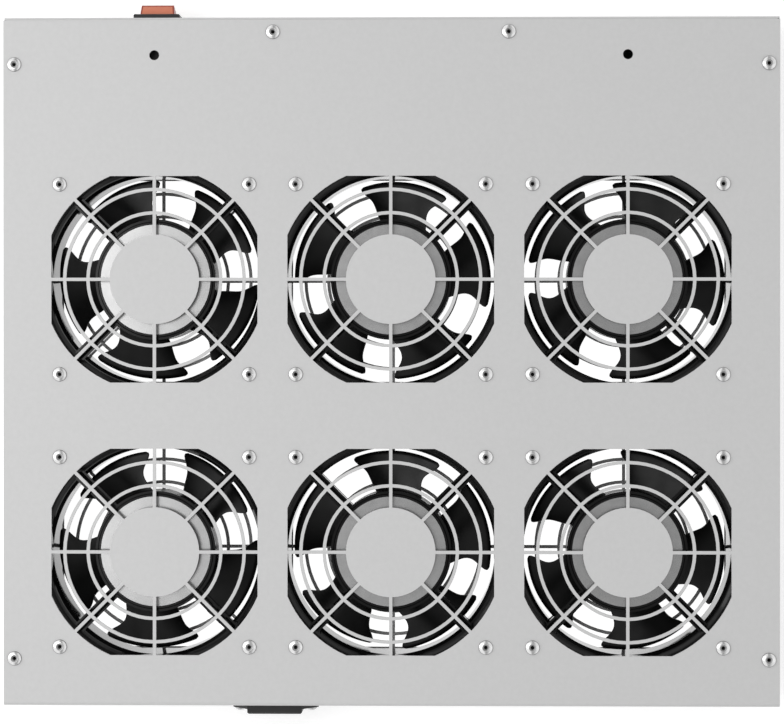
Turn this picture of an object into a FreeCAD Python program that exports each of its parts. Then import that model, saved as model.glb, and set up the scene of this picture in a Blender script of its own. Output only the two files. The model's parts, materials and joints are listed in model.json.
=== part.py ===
import FreeCAD, Part
import math
import os

# Rack fan tray, one rack unit high: a sheet-metal box that carries six 120 mm mains fans, with a
# mains inlet in the rear wall and a rocker switch in the front wall.
# Frame: origin at the centre of the tray's underside, +X along the width, +Y towards the switch
# wall, +Z up, the way the air is blown. All sizes are in millimetres.

V = FreeCAD.Vector

# ---- sheet metal -------------------------------------------------------------------------------
TRAY_WIDTH = 428.0
TRAY_DEPTH = 380.0
TRAY_HEIGHT = 44.0
SHEET = 1.2
BEND_RADIUS = 0.8           # inside radius of every fold
FLANGE = 12.0               # inward flange along the top of the pan's walls
REAR_LIP = 10.0             # height of the pan's lip inside the cover's rear wall
COVER_SETBACK = 1.7         # cover's front edge behind the front wall's outer face
SEAM = 0.2                  # gap between two sheets that butt
CORNER_SEAM = 0.3           # slit where two walls of the pan meet
FRONT_BAY = 84.6            # front wall's outer face to the fans, room for switch and terminals

# ---- fans --------------------------------------------------------------------------------------
FAN_SIZE = 120.0
FAN_THICKNESS = 38.0
FAN_GAP_X = 10.5            # between two fans of a row, where the wires run
FAN_GAP_Y = 30.5            # between the two rows
FIXING_INSET = 7.6          # fixing holes in from the fan's sides
FIXING_HOLE = 4.3
FAN_CORNER_RADIUS = 5.0
FAN_FLANGE = 5.0            # thickness of the square flanges at both faces
DUCT_INSET = 2.6            # duct's bore in from the fan's sides
DUCT_WALL = 3.0
FLARE = 8.6                 # how far the duct's mouth widens, in the corners only
FLARE_DEPTH = 9.0
LEDGE_OUT = 1.6             # narrow ledge in the flare, out from the duct's bore
LEDGE_DEPTH = 5.4           # and below the mouth
LEDGE = 0.6
HUB_RADIUS = 33.4
HUB_RIM = 2.95              # radial width of the raised rim round the label
HUB_RECESS = 4.0            # hub's rim below the fan's outlet face
HUB_PLATE = 3.0
HUB_STEP = 1.3              # outer part of the rim, lower than its inner part
HUB_BEVEL = 0.5
LABEL_THICKNESS = 0.3
LABEL_RECESS = 0.3          # label's face below the hub's rim
STRUT_WIDTH = 6.3
STRUT_HEIGHT = 5.2
STRUT_SHOULDER = 1.1        # ledge along both edges of a strut
STRUT_BEVEL = 0.9           # between the ledge and the strut's crown
CLIP_WIDTH = 3.0            # bridges that hold the lead down in its strut
CLIP_PROUD = 0.4
INNER_CLIP = 9.8            # inner bridge from the hub
OUTER_CLIP = 6.8            # outer bridge before the lead's turn
BEARING_TUBE_RADIUS = 8.0
BEARING_TUBE_GAP = 3.0      # bearing tube above the can's floor
BEARING_RADIUS = 5.0
BEARING_LENGTH = 4.0
SHAFT_RADIUS = 2.0
RUNNING_FIT = 0.04          # radial play of the shaft in its bearings
SEAT_FIT = 0.05             # radial gap round a piece that is pushed into place
SLOTS = 8                   # slots for the coils round the laminated core
SLOT_INNER = 6.0            # slot's ends out from the bearing tube
SLOT_OUTER = 14.0
SLOT_WIDTH = 4.0
SLOT_MOUTH = 1.6
COIL_HEIGHT = 4.0
COIL_CLEARANCE = 2.7        # coils to the hub plate and to the can's floor
COIL_INSET = 2.0            # coils in from the core's rim
COIL_BORE = 3.5             # coils out from the bearing tube
COIL_ROUND = 1.5
AIR_GAP = 0.5

# ---- impeller ----------------------------------------------------------------------------------
BLADES = 5
CAN_INSET = 0.2             # can's wall in from the hub's
CAN_WALL = 2.5
CAN_FLOOR = 1.5
CAN_BOTTOM = 3.0            # above the fan's inlet face
CAN_GAP = 1.2               # can's rim below the struts
CAN_ROUND = 1.5
CONDUCTOR = 5.5             # radial width of the conductor ring inside the can
CONDUCTOR_OVERHANG = 1.0    # conductor ring past the core at both ends
NOSE_RADIUS = 9.0           # raised middle of the can
NOSE_DIP_RADIUS = 6.0
NOSE_DIP = 1.9
TIP_CLEARANCE = 2.1         # blades' tips in from the duct
BLADE_THICKNESS = 1.8       # measured along the axis
BLADE_LOWEST = 2.8          # above the fan's inlet face
BLADE_CAMBER = 1.6
BLADE_TIP_CORNER = 2.4
STRUT_CLEARANCE = 1.2       # blades below the struts
# half the gap between two blades in degrees, as (radius, half gap) out along each edge
TRAILING_EDGE = ((33.2, 7.0), (38.8, 13.0), (43.4, 15.0), (47.4, 13.2), (50.6, 10.6), (55.3, 8.6))
LEADING_EDGE = ((33.2, 17.5), (38.8, 15.6), (43.4, 14.9), (47.4, 13.4), (50.6, 10.8), (55.3, 8.4))
# where each fan's gap between blades stands at rest, and which way its frame is turned, in degrees
REST_ANGLE = {1: 7.0, 2: 46.5, 3: 34.5, 4: 13.6, 5: 51.2, 6: 29.6}
FRAME_TURN = {1: 90, 2: 0, 3: 0, 4: 90, 5: 0, 6: 0}

# ---- grilles -----------------------------------------------------------------------------------
GRILLE_WIDER = 4.6          # grille's circle out from the duct's bore
GRILLE_TRIM = 0.4           # square that trims the circle, in from the duct's bore
GRILLE_DISC = 24.7
GRILLE_RINGS = ((35.8, 37.6), (48.7, 50.5))
GRILLE_SPOKES = 8
GRILLE_SPOKE_WIDTH = 1.8

# ---- rivets, screws and plain holes ------------------------------------------------------------
RIVET_RADIUS = 2.0
RIVET_HEAD_RADIUS = 4.0
RIVET_HEAD = 1.3
RIVET_DISH_RADIUS = 1.65
RIVET_DISH = 0.5
RIVET_BORE = 0.85
RIVET_BULB_RADIUS = 2.9
RIVET_BULB = 2.6
RIVET_SHOULDER = 0.35       # straight edge round the head
RIVET_HOLE = 4.1
SIDE_RIVET_INSET = 6.0      # cover's rivets in from the side walls
SIDE_RIVET_END = 26.0       # and in from the front and rear walls
FRONT_RIVET_INSET = 8.3
FRONT_RIVET_X = 65.0
PLAIN_HOLE = 5.5
PLAIN_HOLE_INSET = 21.0     # in from the front wall, one ahead of each outer fan
REAR_SCREW_END = 24.0       # outer screws of the rear wall in from the side walls
REAR_SCREW_INNER = (-110.0, 70.0)
REAR_SCREW_Z = 6.0
REAR_SCREW_LENGTH = 7.0
SCREW_RADIUS = 1.5
SCREW_HEAD_RADIUS = 2.9
SCREW_PLAY = 0.1

# ---- rocker switch -----------------------------------------------------------------------------
SWITCH_X = -130.0
BEZEL_WIDTH = 25.5
BEZEL_HEIGHT = 31.0
BEZEL_PROUD = 2.6
BEZEL_ROUND = 0.8
SWITCH_BODY_WIDTH = 22.0
SWITCH_BODY_HEIGHT = 28.0
SWITCH_BODY_DEPTH = 22.0
PANEL_FIT = 0.15            # gap round a body in its panel cut-out
ROCKER_WIDTH = 18.9
ROCKER_DRAFT = 0.7          # each side, from the bezel to the top
ROCKER_SWEEP = 12.3         # radius of the rocker's ends about its pivot
ROCKER_GAP = 0.3
ROCKER_TILT = 12.0          # degrees to either side of the middle
ROCKER_RISE = 5.5           # high end above the bezel
ROCKER_VALLEY = 0.8         # middle of the rocker's face below its ends
ROCKER_SKIRT = 4.0          # rocker's underside below its pivot
ROCKER_WALL = 2.0
PIVOT_DEPTH = 3.0           # pivot below the bezel's face
PIVOT_RADIUS = 1.5
PIVOT_LENGTH = 1.4
SWITCH_WELL = 9.0           # hollow under the pivot
LATCH_WIDTH = 8.0
LATCH_LENGTH = 5.6
LATCH_PROUD = 1.2
TAB_WIDTH = 6.3
TAB_THICKNESS = 0.8
TAB_LENGTH = 8.0
SWITCH_TAB_X = 5.5
SWITCH_TAB_Z = 8.0

# ---- mains inlet -------------------------------------------------------------------------------
INLET_X = -65.0
INLET_FLANGE_WIDTH = 48.0
INLET_FLANGE_HEIGHT = 22.4
INLET_FLANGE_THICKNESS = 3.2
INLET_SCREW_SPACING = 40.0
INLET_EAR_RADIUS = 5.0
INLET_RIM_WIDTH = 30.4
INLET_RIM_HEIGHT = 22.0
INLET_RIM_PROUD = 6.0
INLET_RIM_CHAMFER = 0.8
INLET_BODY_WIDTH = 27.0
INLET_BODY_HEIGHT = 19.8
SOCKET_WIDTH = 24.8
SOCKET_HEIGHT = 16.8
SOCKET_CORNER = 5.2
SOCKET_DEPTH = 16.2
SOCKET_BACK = 2.0
PIN_WIDTH = 2.0
PIN_HEIGHT = 4.0
PIN_LENGTH = 14.0
LINE_PIN_X = 7.0
LINE_PIN_Z = -2.0
EARTH_PIN_Z = 2.0
PIN_TIP_CHAMFER = 0.5
INLET_TAB_LENGTH = 7.0
INLET_SCREW_HEAD = 1.9
INLET_NUT_ACROSS_FLATS = 5.5
INLET_NUT_HEIGHT = 2.4
INLET_SCREW_END = 1.0       # screw's end past its nut

# ---- wiring ------------------------------------------------------------------------------------
LEAD_RADIUS = 1.4           # sleeved pair of each fan
WIRE_RADIUS = 1.1
LEAD_SLOT = 3.2
LEAD_SINK = 2.6             # lead in its strut below the hub's rim
LEAD_PLAY = 0.1
LEAD_START = 20.0           # where the lead rises from the coils, from the fan's centre
LEAD_TURN_INSET = 19.5      # where the lead leaves the strut, in from the fan's sides
LEAD_OUT = 3.5              # lead's drop outside the fan's edge
LEAD_STEP = 3.8             # height between two leads in the wiring gap
LOWEST_LEAD = 4.4
LEAD_BEND = 3.0
LEAD_BEND_LIMIT = 0.95      # largest part of a short run that a bend may take
BLOCK_WAYS = 6
BLOCK_PITCH = 8.0
BLOCK_DEPTH = 19.0
BLOCK_HEIGHT = 18.0
BLOCK_END = 5.0             # fixing ear at each end
BLOCK_EAR_HEIGHT = 6.0
BLOCK_INSET = 59.0          # block's middle in from the front wall
BLOCK_ENTRY_Z = 14.0
BLOCK_SLOT = 1.2            # grooves between the ways
BLOCK_SLOT_DEPTH = 5.0
CLAMP_RADIUS = 2.0
CLAMP_SHIFT = 5.0           # clamping screws either side of the block's middle
CLAMP_WELL = 4.0
CLAMP_HEIGHT = 2.5
BLOCK_SCREW_HEAD_RADIUS = 2.4
BLOCK_SCREW_HEAD = 1.9
STRAIGHT_ENTRY = 3.0        # straight end of a lead before the block
LEADS_SPREAD = 2.6          # past the front row of fans, where the leads spread
MAINS_SINK = 2.3            # live and neutral below the cover
MAINS_X = 2.6               # live and neutral either side of the wiring gap's middle
SUPPLY_TURNS = (11.0, 16.5)     # turns of the supply wires towards the switch, past the block
SWITCHED_TURNS = (15.0, 20.0)   # turns of the switched wires, past the block
SWITCHED_WAYS = (1, 2)
LIVE_TAB_HOLD = 2.7         # where live and neutral sit on the inlet's tabs, from their ends
EARTH_TAB_HOLD = 1.6        # where the earth wire sits on its tab, from the inlet's back
EARTH_RISE = 11.0           # earth wire's run above the tray's mid height
STUD_X = -46.0
STUD_INSET = 5.8            # stud nearer to the rear wall than the earth wire's end
STUD_RADIUS = 2.0
STUD_HEIGHT = 8.0
NUT_ACROSS_FLATS = 7.0
NUT_HEIGHT = 3.2
LUG_WIDTH = 6.5
LUG_THICKNESS = 0.8
LUG_REACH = 7.6

# ---- what follows from the sizes above ---------------------------------------------------------
MID_Z = TRAY_HEIGHT / 2
BASE_TOP = TRAY_HEIGHT - SHEET
WALL_X = TRAY_WIDTH / 2
FRONT_Y = TRAY_DEPTH / 2
REAR_Y = -TRAY_DEPTH / 2
PAN_REAR_Y = REAR_Y + SHEET + SEAM
FAN_Z = BASE_TOP - FAN_THICKNESS
HALF_FAN = FAN_SIZE / 2
FAN_PITCH_X = FAN_SIZE + FAN_GAP_X
FAN_PITCH_Y = FAN_SIZE + FAN_GAP_Y
FRONT_ROW_Y = FRONT_Y - FRONT_BAY - HALF_FAN
FIXING = HALF_FAN - FIXING_INSET
DUCT_RADIUS = HALF_FAN - DUCT_INSET
FLARE_RADIUS = DUCT_RADIUS + FLARE
GRILLE_RADIUS = DUCT_RADIUS + GRILLE_WIDER
GRILLE_HALF_SIDE = DUCT_RADIUS - GRILLE_TRIM
HUB_TOP = FAN_THICKNESS - HUB_RECESS
LABEL_RADIUS = HUB_RADIUS - HUB_RIM - SEAT_FIT
PLATE_TOP = HUB_TOP - LABEL_RECESS - LABEL_THICKNESS
PLATE_BOTTOM = PLATE_TOP - HUB_PLATE
STRUT_BOTTOM = HUB_TOP - STRUT_HEIGHT
CAN_RADIUS = HUB_RADIUS - CAN_INSET
CAN_TOP = STRUT_BOTTOM - CAN_GAP
CAN_INSIDE = CAN_BOTTOM + CAN_WALL + CAN_FLOOR
TUBE_BOTTOM = CAN_INSIDE + BEARING_TUBE_GAP
CORE_BOTTOM = CAN_INSIDE + COIL_CLEARANCE + COIL_HEIGHT
CORE_TOP = PLATE_BOTTOM - COIL_CLEARANCE - COIL_HEIGHT
CONDUCTOR_RADIUS = CAN_RADIUS - CAN_WALL - CONDUCTOR
LAMINATION_RADIUS = CONDUCTOR_RADIUS - AIR_GAP
BLADE_TIP = DUCT_RADIUS - TIP_CLEARANCE
BLADE_HIGHEST = STRUT_BOTTOM - STRUT_CLEARANCE - BLADE_THICKNESS
LEAD_LEVEL = HUB_TOP - LEAD_SINK
LEAD_TURN = HALF_FAN - LEAD_TURN_INSET
WIRING_GAP_X = -FAN_PITCH_X / 2
BLOCK_Y = FRONT_Y - BLOCK_INSET
BLOCK_TOP = SHEET + BLOCK_HEIGHT
BLOCK_FRONT = BLOCK_Y + BLOCK_DEPTH / 2
BLOCK_REAR = BLOCK_Y - BLOCK_DEPTH / 2
BLOCK_HALF_X = BLOCK_WAYS * BLOCK_PITCH / 2 + BLOCK_END
SPREAD_Y = FRONT_ROW_Y + HALF_FAN + LEADS_SPREAD
REAR_SCREW_X = (REAR_SCREW_END - WALL_X,) + REAR_SCREW_INNER + (WALL_X - REAR_SCREW_END,)
BEZEL_FACE = FRONT_Y + BEZEL_PROUD
PIVOT_Y = BEZEL_FACE - PIVOT_DEPTH
SWITCH_BACK = FRONT_Y - SHEET - SWITCH_BODY_DEPTH
INLET_FACE = REAR_Y - INLET_RIM_PROUD
INLET_BACK = INLET_FACE + SOCKET_DEPTH + SOCKET_BACK
EARTH_WIRE_Y = INLET_BACK + EARTH_TAB_HOLD
STUD_Y = EARTH_WIRE_Y - STUD_INSET
SWITCH_TAB_END = SWITCH_BACK - TAB_LENGTH
REAR_ROW_Y = FRONT_ROW_Y - FAN_PITCH_Y
FANS = {
    1: V(-FAN_PITCH_X, FRONT_ROW_Y, FAN_Z),
    2: V(0, FRONT_ROW_Y, FAN_Z),
    3: V(FAN_PITCH_X, FRONT_ROW_Y, FAN_Z),
    4: V(-FAN_PITCH_X, REAR_ROW_Y, FAN_Z),
    5: V(0, REAR_ROW_Y, FAN_Z),
    6: V(FAN_PITCH_X, REAR_ROW_Y, FAN_Z),
}
# the lead that comes from furthest lies lowest in the wiring gap
LEAD_ORDER = (6, 5, 4, 3, 2, 1)


# ---- helpers -----------------------------------------------------------------------------------
def box(x0, x1, y0, y1, z0, z1):
    return Part.makeBox(x1 - x0, y1 - y0, z1 - z0, V(x0, y0, z0))


def centred_box(width, depth, z0, z1):
    return box(-width / 2, width / 2, -depth / 2, depth / 2, z0, z1)


def disc(radius, z0, z1, x=0.0, y=0.0):
    return Part.makeCylinder(radius, z1 - z0, V(x, y, z0))


def ring(outer, inner, z0, z1):
    return disc(outer, z0, z1).cut(disc(inner, z0 - 1, z1 + 1))


def polar(radius, degrees, z=0.0):
    angle = math.radians(degrees)
    return V(radius * math.cos(angle), radius * math.sin(angle), z)


def turned(shape, degrees):
    copy = shape.copy()
    copy.rotate(V(0, 0, 0), V(0, 0, 1), degrees)
    return copy


def moved(shape, offset):
    copy = shape.copy()
    copy.translate(offset)
    return copy


def polygon_prism(points, direction):
    wire = Part.makePolygon(points + [points[0]])
    return Part.Face(wire).extrude(direction)


def revolved(profile):
    """Solid of revolution about Z from (radius, z) points."""
    points = [V(radius, 0, z) for radius, z in profile]
    face = Part.Face(Part.makePolygon(points + [points[0]]))
    return face.revolve(V(0, 0, 0), V(0, 0, 1), 360)


def edges_along(shape, direction, keep):
    """Straight edges of a shape along a direction whose middle passes a test."""
    found = []
    for edge in shape.Edges:
        run = edge.lastVertex().Point - edge.firstVertex().Point
        if run.Length < 1e-6 or abs(abs(run.normalize().dot(direction)) - 1) > 1e-6:
            continue
        if keep(edge.CenterOfMass):
            found.append(edge)
    return found


def wire_solid(points, radius, bend):
    """Round wire along straight runs joined by tangent arcs."""
    edges = []
    start = points[0]
    for before, corner, after in zip(points, points[1:], points[2:]):
        into = (corner - before).normalize()
        out = (after - corner).normalize()
        half_turn = into.getAngle(out) / 2
        setback = bend * math.tan(half_turn)
        arc_in = corner - into * setback
        arc_out = corner + out * setback
        inward = (out - into).normalize()
        arc_mid = corner + inward * (bend / math.cos(half_turn) - bend)
        edges.append(Part.LineSegment(start, arc_in).toShape())
        edges.append(Part.Arc(arc_in, arc_mid, arc_out).toShape())
        start = arc_out
    edges.append(Part.LineSegment(start, points[-1]).toShape())
    path = Part.Wire(edges)
    heading = (points[1] - points[0]).normalize()
    section = Part.Wire(Part.Circle(points[0], heading, radius).toShape())
    return path.makePipeShell([section], True, False)


# ---- sheet metal -------------------------------------------------------------------------------
def grille_opening(inner, outer, first_spoke, z0, z1):
    """One window of a grille, between two rings and two spokes."""
    half = GRILLE_SPOKE_WIDTH / 2
    step = 360 / GRILLE_SPOKES

    def corner(radius, spoke, side):
        return polar(radius, spoke + side * math.degrees(math.asin(half / radius)), z0)

    middle = first_spoke + step / 2
    inner_start = corner(inner, first_spoke, 1)
    inner_end = corner(inner, first_spoke + step, -1)
    outer_start = corner(outer, first_spoke, 1)
    outer_end = corner(outer, first_spoke + step, -1)
    outline = Part.Wire([
        Part.Arc(inner_start, polar(inner, middle, z0), inner_end).toShape(),
        Part.LineSegment(inner_end, outer_end).toShape(),
        Part.Arc(outer_end, polar(outer, middle, z0), outer_start).toShape(),
        Part.LineSegment(outer_start, inner_start).toShape(),
    ])
    return Part.Face(outline).extrude(V(0, 0, z1 - z0))


def grille_cutters(z0, z1):
    """Every window of the six grilles, standing from z0 to z1."""
    bands = (
        (GRILLE_DISC, GRILLE_RINGS[0][0]),
        (GRILLE_RINGS[0][1], GRILLE_RINGS[1][0]),
        (GRILLE_RINGS[1][1], GRILLE_RADIUS),
    )
    square = centred_box(2 * GRILLE_HALF_SIDE, 2 * GRILLE_HALF_SIDE, z0, z1)
    windows = []
    for inner, outer in bands:
        for spoke in range(GRILLE_SPOKES):
            window = grille_opening(inner, outer, spoke * 360 / GRILLE_SPOKES, z0, z1)
            windows.append(window.common(square) if outer > GRILLE_HALF_SIDE else window)
    return [moved(window, V(at.x, at.y, 0)) for at in FANS.values() for window in windows]


def fan_fixings():
    return [
        V(at.x + side_x * FIXING, at.y + side_y * FIXING, 0)
        for at in FANS.values()
        for side_x in (-1, 1)
        for side_y in (-1, 1)
    ]


def cover_fixings():
    side_x = WALL_X - SIDE_RIVET_INSET
    side_y = FRONT_Y - SIDE_RIVET_END
    front_y = FRONT_Y - FRONT_RIVET_INSET
    corners = [V(x * side_x, y * side_y, 0) for x in (-1, 1) for y in (-1, 1)]
    return corners + [V(-FRONT_RIVET_X, front_y, 0), V(FRONT_RIVET_X, front_y, 0)]


def top_cover():
    """Flat top with six punched grilles, folded down into the rear wall."""
    outer_bend = BEND_RADIUS + SHEET
    front = FRONT_Y - COVER_SETBACK
    top = box(-WALL_X, WALL_X, REAR_Y, front, BASE_TOP, TRAY_HEIGHT)
    wall = box(-WALL_X, WALL_X, REAR_Y, REAR_Y + SHEET, SEAM, TRAY_HEIGHT)
    inside = REAR_Y + SHEET
    web = box(-WALL_X, WALL_X, inside, inside + BEND_RADIUS, BASE_TOP - BEND_RADIUS, BASE_TOP)
    hollow = Part.makeCylinder(
        BEND_RADIUS, TRAY_WIDTH, V(-WALL_X, inside + BEND_RADIUS, BASE_TOP - BEND_RADIUS), V(1, 0, 0)
    )
    sheet = top.fuse([wall, web.cut(hollow)]).removeSplitter()
    fold = edges_along(
        sheet, V(1, 0, 0), lambda p: p.y < REAR_Y + 0.01 and p.z > TRAY_HEIGHT - 0.01
    )
    sheet = sheet.makeFillet(outer_bend, fold)
    through = BASE_TOP - 1, TRAY_HEIGHT + 1
    cutters = grille_cutters(*through)
    cutters += [disc(RIVET_HOLE / 2, *through, at.x, at.y) for at in fan_fixings() + cover_fixings()]
    plain_y = FRONT_Y - PLAIN_HOLE_INSET
    cutters += [disc(PLAIN_HOLE / 2, *through, x, plain_y) for x in (-FAN_PITCH_X, FAN_PITCH_X)]
    cutters.append(box(
        INLET_X - INLET_BODY_WIDTH / 2 - PANEL_FIT, INLET_X + INLET_BODY_WIDTH / 2 + PANEL_FIT,
        REAR_Y - 1, REAR_Y + SHEET + 1,
        MID_Z - INLET_BODY_HEIGHT / 2 - PANEL_FIT, MID_Z + INLET_BODY_HEIGHT / 2 + PANEL_FIT,
    ))
    for side in (-1, 1):
        at = V(INLET_X + side * INLET_SCREW_SPACING / 2, REAR_Y - 1, MID_Z)
        cutters.append(Part.makeCylinder(SCREW_RADIUS + SCREW_PLAY, SHEET + 2, at, V(0, 1, 0)))
    cutters += [moved(rear_screw(SCREW_PLAY), V(x, REAR_Y, REAR_SCREW_Z)) for x in REAR_SCREW_X]
    return sheet.cut(cutters)


def folded_box(inset, radius):
    """Box inside or outside the pan's sheet, round along every fold."""
    shape = box(
        -WALL_X + inset, WALL_X - inset, PAN_REAR_Y + inset, FRONT_Y - inset, inset, BASE_TOP - inset
    )
    low = inset + 0.01
    high = BASE_TOP - inset - 0.01
    rear = PAN_REAR_Y + inset + 0.01
    folds = edges_along(shape, V(1, 0, 0), lambda p: p.z < low or (p.z > high and p.y > rear))
    folds += edges_along(shape, V(0, 1, 0), lambda p: True)
    return shape.makeFillet(radius, folds)


def base_pan():
    """Floor with six grilles, side and front walls with inward flanges, and a lip at the rear."""
    pan = folded_box(0, BEND_RADIUS + SHEET).cut(folded_box(SHEET, BEND_RADIUS))
    window_x = WALL_X - FLANGE
    flange_y = FRONT_Y - FLANGE
    cutters = [
        box(-window_x, window_x, REAR_Y, flange_y, BASE_TOP - SHEET - 1, BASE_TOP + 1),
        box(
            -WALL_X + SHEET, WALL_X - SHEET, REAR_Y, PAN_REAR_Y + SHEET + BEND_RADIUS,
            REAR_LIP, BASE_TOP + 1,
        ),
    ]
    for side in (-1, 1):
        outside = side * (WALL_X + 1)
        inside = side * (WALL_X - SHEET)
        cutters.append(box(
            min(inside, outside), max(inside, outside),
            FRONT_Y - SHEET - CORNER_SEAM, FRONT_Y - SHEET, 2 * SHEET, BASE_TOP + 1,
        ))
        flange_end = side * window_x
        cutters.append(box(
            min(inside, flange_end), max(inside, flange_end),
            flange_y - CORNER_SEAM, flange_y, BASE_TOP - SHEET - 1, BASE_TOP + 1,
        ))
    cutters += grille_cutters(-1, SHEET + 1)
    cutters += [
        disc(RIVET_HOLE / 2, BASE_TOP - SHEET - 1, BASE_TOP + 1, at.x, at.y) for at in cover_fixings()
    ]
    cutters.append(box(
        SWITCH_X - SWITCH_BODY_WIDTH / 2 - PANEL_FIT, SWITCH_X + SWITCH_BODY_WIDTH / 2 + PANEL_FIT,
        FRONT_Y - SHEET - 1, FRONT_Y + 1,
        MID_Z - SWITCH_BODY_HEIGHT / 2 - PANEL_FIT, MID_Z + SWITCH_BODY_HEIGHT / 2 + PANEL_FIT,
    ))
    for x in REAR_SCREW_X:
        at = V(x, REAR_Y, REAR_SCREW_Z)
        cutters.append(Part.makeCylinder(SCREW_RADIUS + SCREW_PLAY, 4 * SHEET, at, V(0, 1, 0)))
    return pan.cut(cutters)


# ---- fasteners ---------------------------------------------------------------------------------
def blind_rivet(grip):
    """Set blind rivet, its head's seat at z = 0 and its shank hanging down."""
    profile = [
        (RIVET_BORE, -grip - RIVET_BULB),
        (RIVET_RADIUS, -grip - RIVET_BULB),
        (RIVET_BULB_RADIUS, -grip - RIVET_BULB * 0.65),
        (RIVET_BULB_RADIUS, -grip),
        (RIVET_RADIUS, -grip),
        (RIVET_RADIUS, 0),
        (RIVET_HEAD_RADIUS, 0),
        (RIVET_HEAD_RADIUS, RIVET_SHOULDER),
        (RIVET_HEAD_RADIUS * 0.85, RIVET_HEAD * 0.66),
        (RIVET_HEAD_RADIUS * 0.66, RIVET_HEAD * 0.92),
        (RIVET_DISH_RADIUS, RIVET_HEAD),
        (RIVET_BORE, RIVET_HEAD - RIVET_DISH),
    ]
    return revolved(profile)


def group_at(shape, places, z):
    return Part.makeCompound([moved(shape, V(at.x, at.y, z)) for at in places])


def rear_screw(play=0.0):
    """Countersunk screw, driven along +Y from the rear wall's outer face."""
    screw = revolved([
        (0, 0), (SCREW_HEAD_RADIUS + play, 0), (SCREW_RADIUS + play, SHEET),
        (SCREW_RADIUS + play, REAR_SCREW_LENGTH), (0, REAR_SCREW_LENGTH),
    ])
    screw.rotate(V(0, 0, 0), V(1, 0, 0), -90)
    return screw


def hexagon(across_flats, bore, height):
    corner = across_flats / 2 / math.cos(math.radians(30))
    outline = [polar(corner, 60 * side) for side in range(6)]
    return polygon_prism(outline, V(0, 0, height)).cut(disc(bore, -1, height + 1))


# ---- fan ---------------------------------------------------------------------------------------
def fan_frame():
    """Die-cast frame, its inlet face at z = 0; the strut at 225 degrees carries the lead."""
    outline = centred_box(FAN_SIZE, FAN_SIZE, 0, FAN_THICKNESS)
    outline = outline.makeFillet(FAN_CORNER_RADIUS, edges_along(outline, V(0, 0, 1), lambda p: True))
    top = FAN_THICKNESS
    barrel = DUCT_RADIUS + DUCT_WALL
    mouth = FLARE_RADIUS + DUCT_WALL
    shell = revolved([
        (0, 0), (mouth, 0), (barrel, FLARE_DEPTH), (barrel, top - FLARE_DEPTH), (mouth, top), (0, top),
    ])
    flanges = outline.cut(centred_box(2 * FAN_SIZE, 2 * FAN_SIZE, FAN_FLANGE, top - FAN_FLANGE))
    ledge = DUCT_RADIUS + LEDGE_OUT
    duct = revolved([
        (0, -1), (FLARE_RADIUS, -1), (FLARE_RADIUS, 0), (DUCT_RADIUS, FLARE_DEPTH),
        (DUCT_RADIUS, top - FLARE_DEPTH), (ledge, top - LEDGE_DEPTH), (ledge + LEDGE, top - LEDGE_DEPTH),
        (FLARE_RADIUS, top), (FLARE_RADIUS, top + 1), (0, top + 1),
    ])
    duct = duct.common(centred_box(2 * DUCT_RADIUS, 2 * DUCT_RADIUS, -1, top + 1))
    body = shell.common(outline).fuse(flanges).cut(duct)
    hub = revolved([
        (BEARING_RADIUS + SEAT_FIT, TUBE_BOTTOM), (BEARING_TUBE_RADIUS, TUBE_BOTTOM),
        (BEARING_TUBE_RADIUS, PLATE_BOTTOM), (HUB_RADIUS, PLATE_BOTTOM),
        (HUB_RADIUS, HUB_TOP - HUB_BEVEL), (HUB_RADIUS - HUB_STEP, HUB_TOP - HUB_BEVEL),
        (HUB_RADIUS - HUB_STEP - HUB_BEVEL, HUB_TOP), (HUB_RADIUS - HUB_RIM, HUB_TOP),
        (HUB_RADIUS - HUB_RIM, PLATE_TOP), (BEARING_RADIUS + SEAT_FIT, PLATE_TOP),
    ])
    body = body.fuse([hub] + [strut(45 + 90 * quarter) for quarter in range(4)])
    cutters = [
        disc(FIXING_HOLE / 2, -1, top + 1, x, y)
        for x in (-FIXING, FIXING)
        for y in (-FIXING, FIXING)
    ]
    cutters += lead_channel()
    return body.cut(cutters).fuse(lead_clips()).removeSplitter()


def strut(degrees):
    """Straight arm from the hub's rim to the corner of the duct, with a bevelled crown."""
    half = STRUT_WIDTH / 2
    foot = half - STRUT_SHOULDER
    crown = foot - STRUT_BEVEL
    ledge = HUB_TOP - STRUT_BEVEL
    inner = HUB_RADIUS - HUB_RIM / 2
    section = [
        V(inner, -half, STRUT_BOTTOM), V(inner, half, STRUT_BOTTOM), V(inner, half, ledge),
        V(inner, foot, ledge), V(inner, crown, HUB_TOP), V(inner, -crown, HUB_TOP),
        V(inner, -foot, ledge), V(inner, -half, ledge),
    ]
    reach = FLARE_RADIUS - DUCT_WALL - inner
    return turned(polygon_prism(section, V(reach, 0, 0)), degrees)


def lead_channel():
    """Slots that the lead lies in: along its strut and out through the duct's wall."""
    floor = LEAD_LEVEL - LEAD_RADIUS - LEAD_PLAY
    half = LEAD_SLOT / 2
    turn_radius = LEAD_TURN * math.sqrt(2)
    groove = box(LEAD_START - half, turn_radius, -half, half, floor, HUB_TOP + 1)
    passage = box(
        -LEAD_TURN - half, -LEAD_TURN + half, -HALF_FAN - 1, -LEAD_TURN + half,
        floor, FAN_THICKNESS - FAN_FLANGE,
    )
    return [turned(groove, 225), passage]


def lead_clips():
    """Two small bridges that hold the lead down in its strut."""
    half = STRUT_WIDTH / 2
    clips = []
    for start in (HUB_RADIUS + INNER_CLIP, LEAD_TURN * math.sqrt(2) - OUTER_CLIP):
        bar = box(start, start + CLIP_WIDTH, -half, half, HUB_TOP - STRUT_BEVEL, HUB_TOP + CLIP_PROUD)
        clips.append(turned(bar, 225))
    return clips


def hub_label():
    return disc(LABEL_RADIUS, PLATE_TOP, PLATE_TOP + LABEL_THICKNESS)


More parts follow.
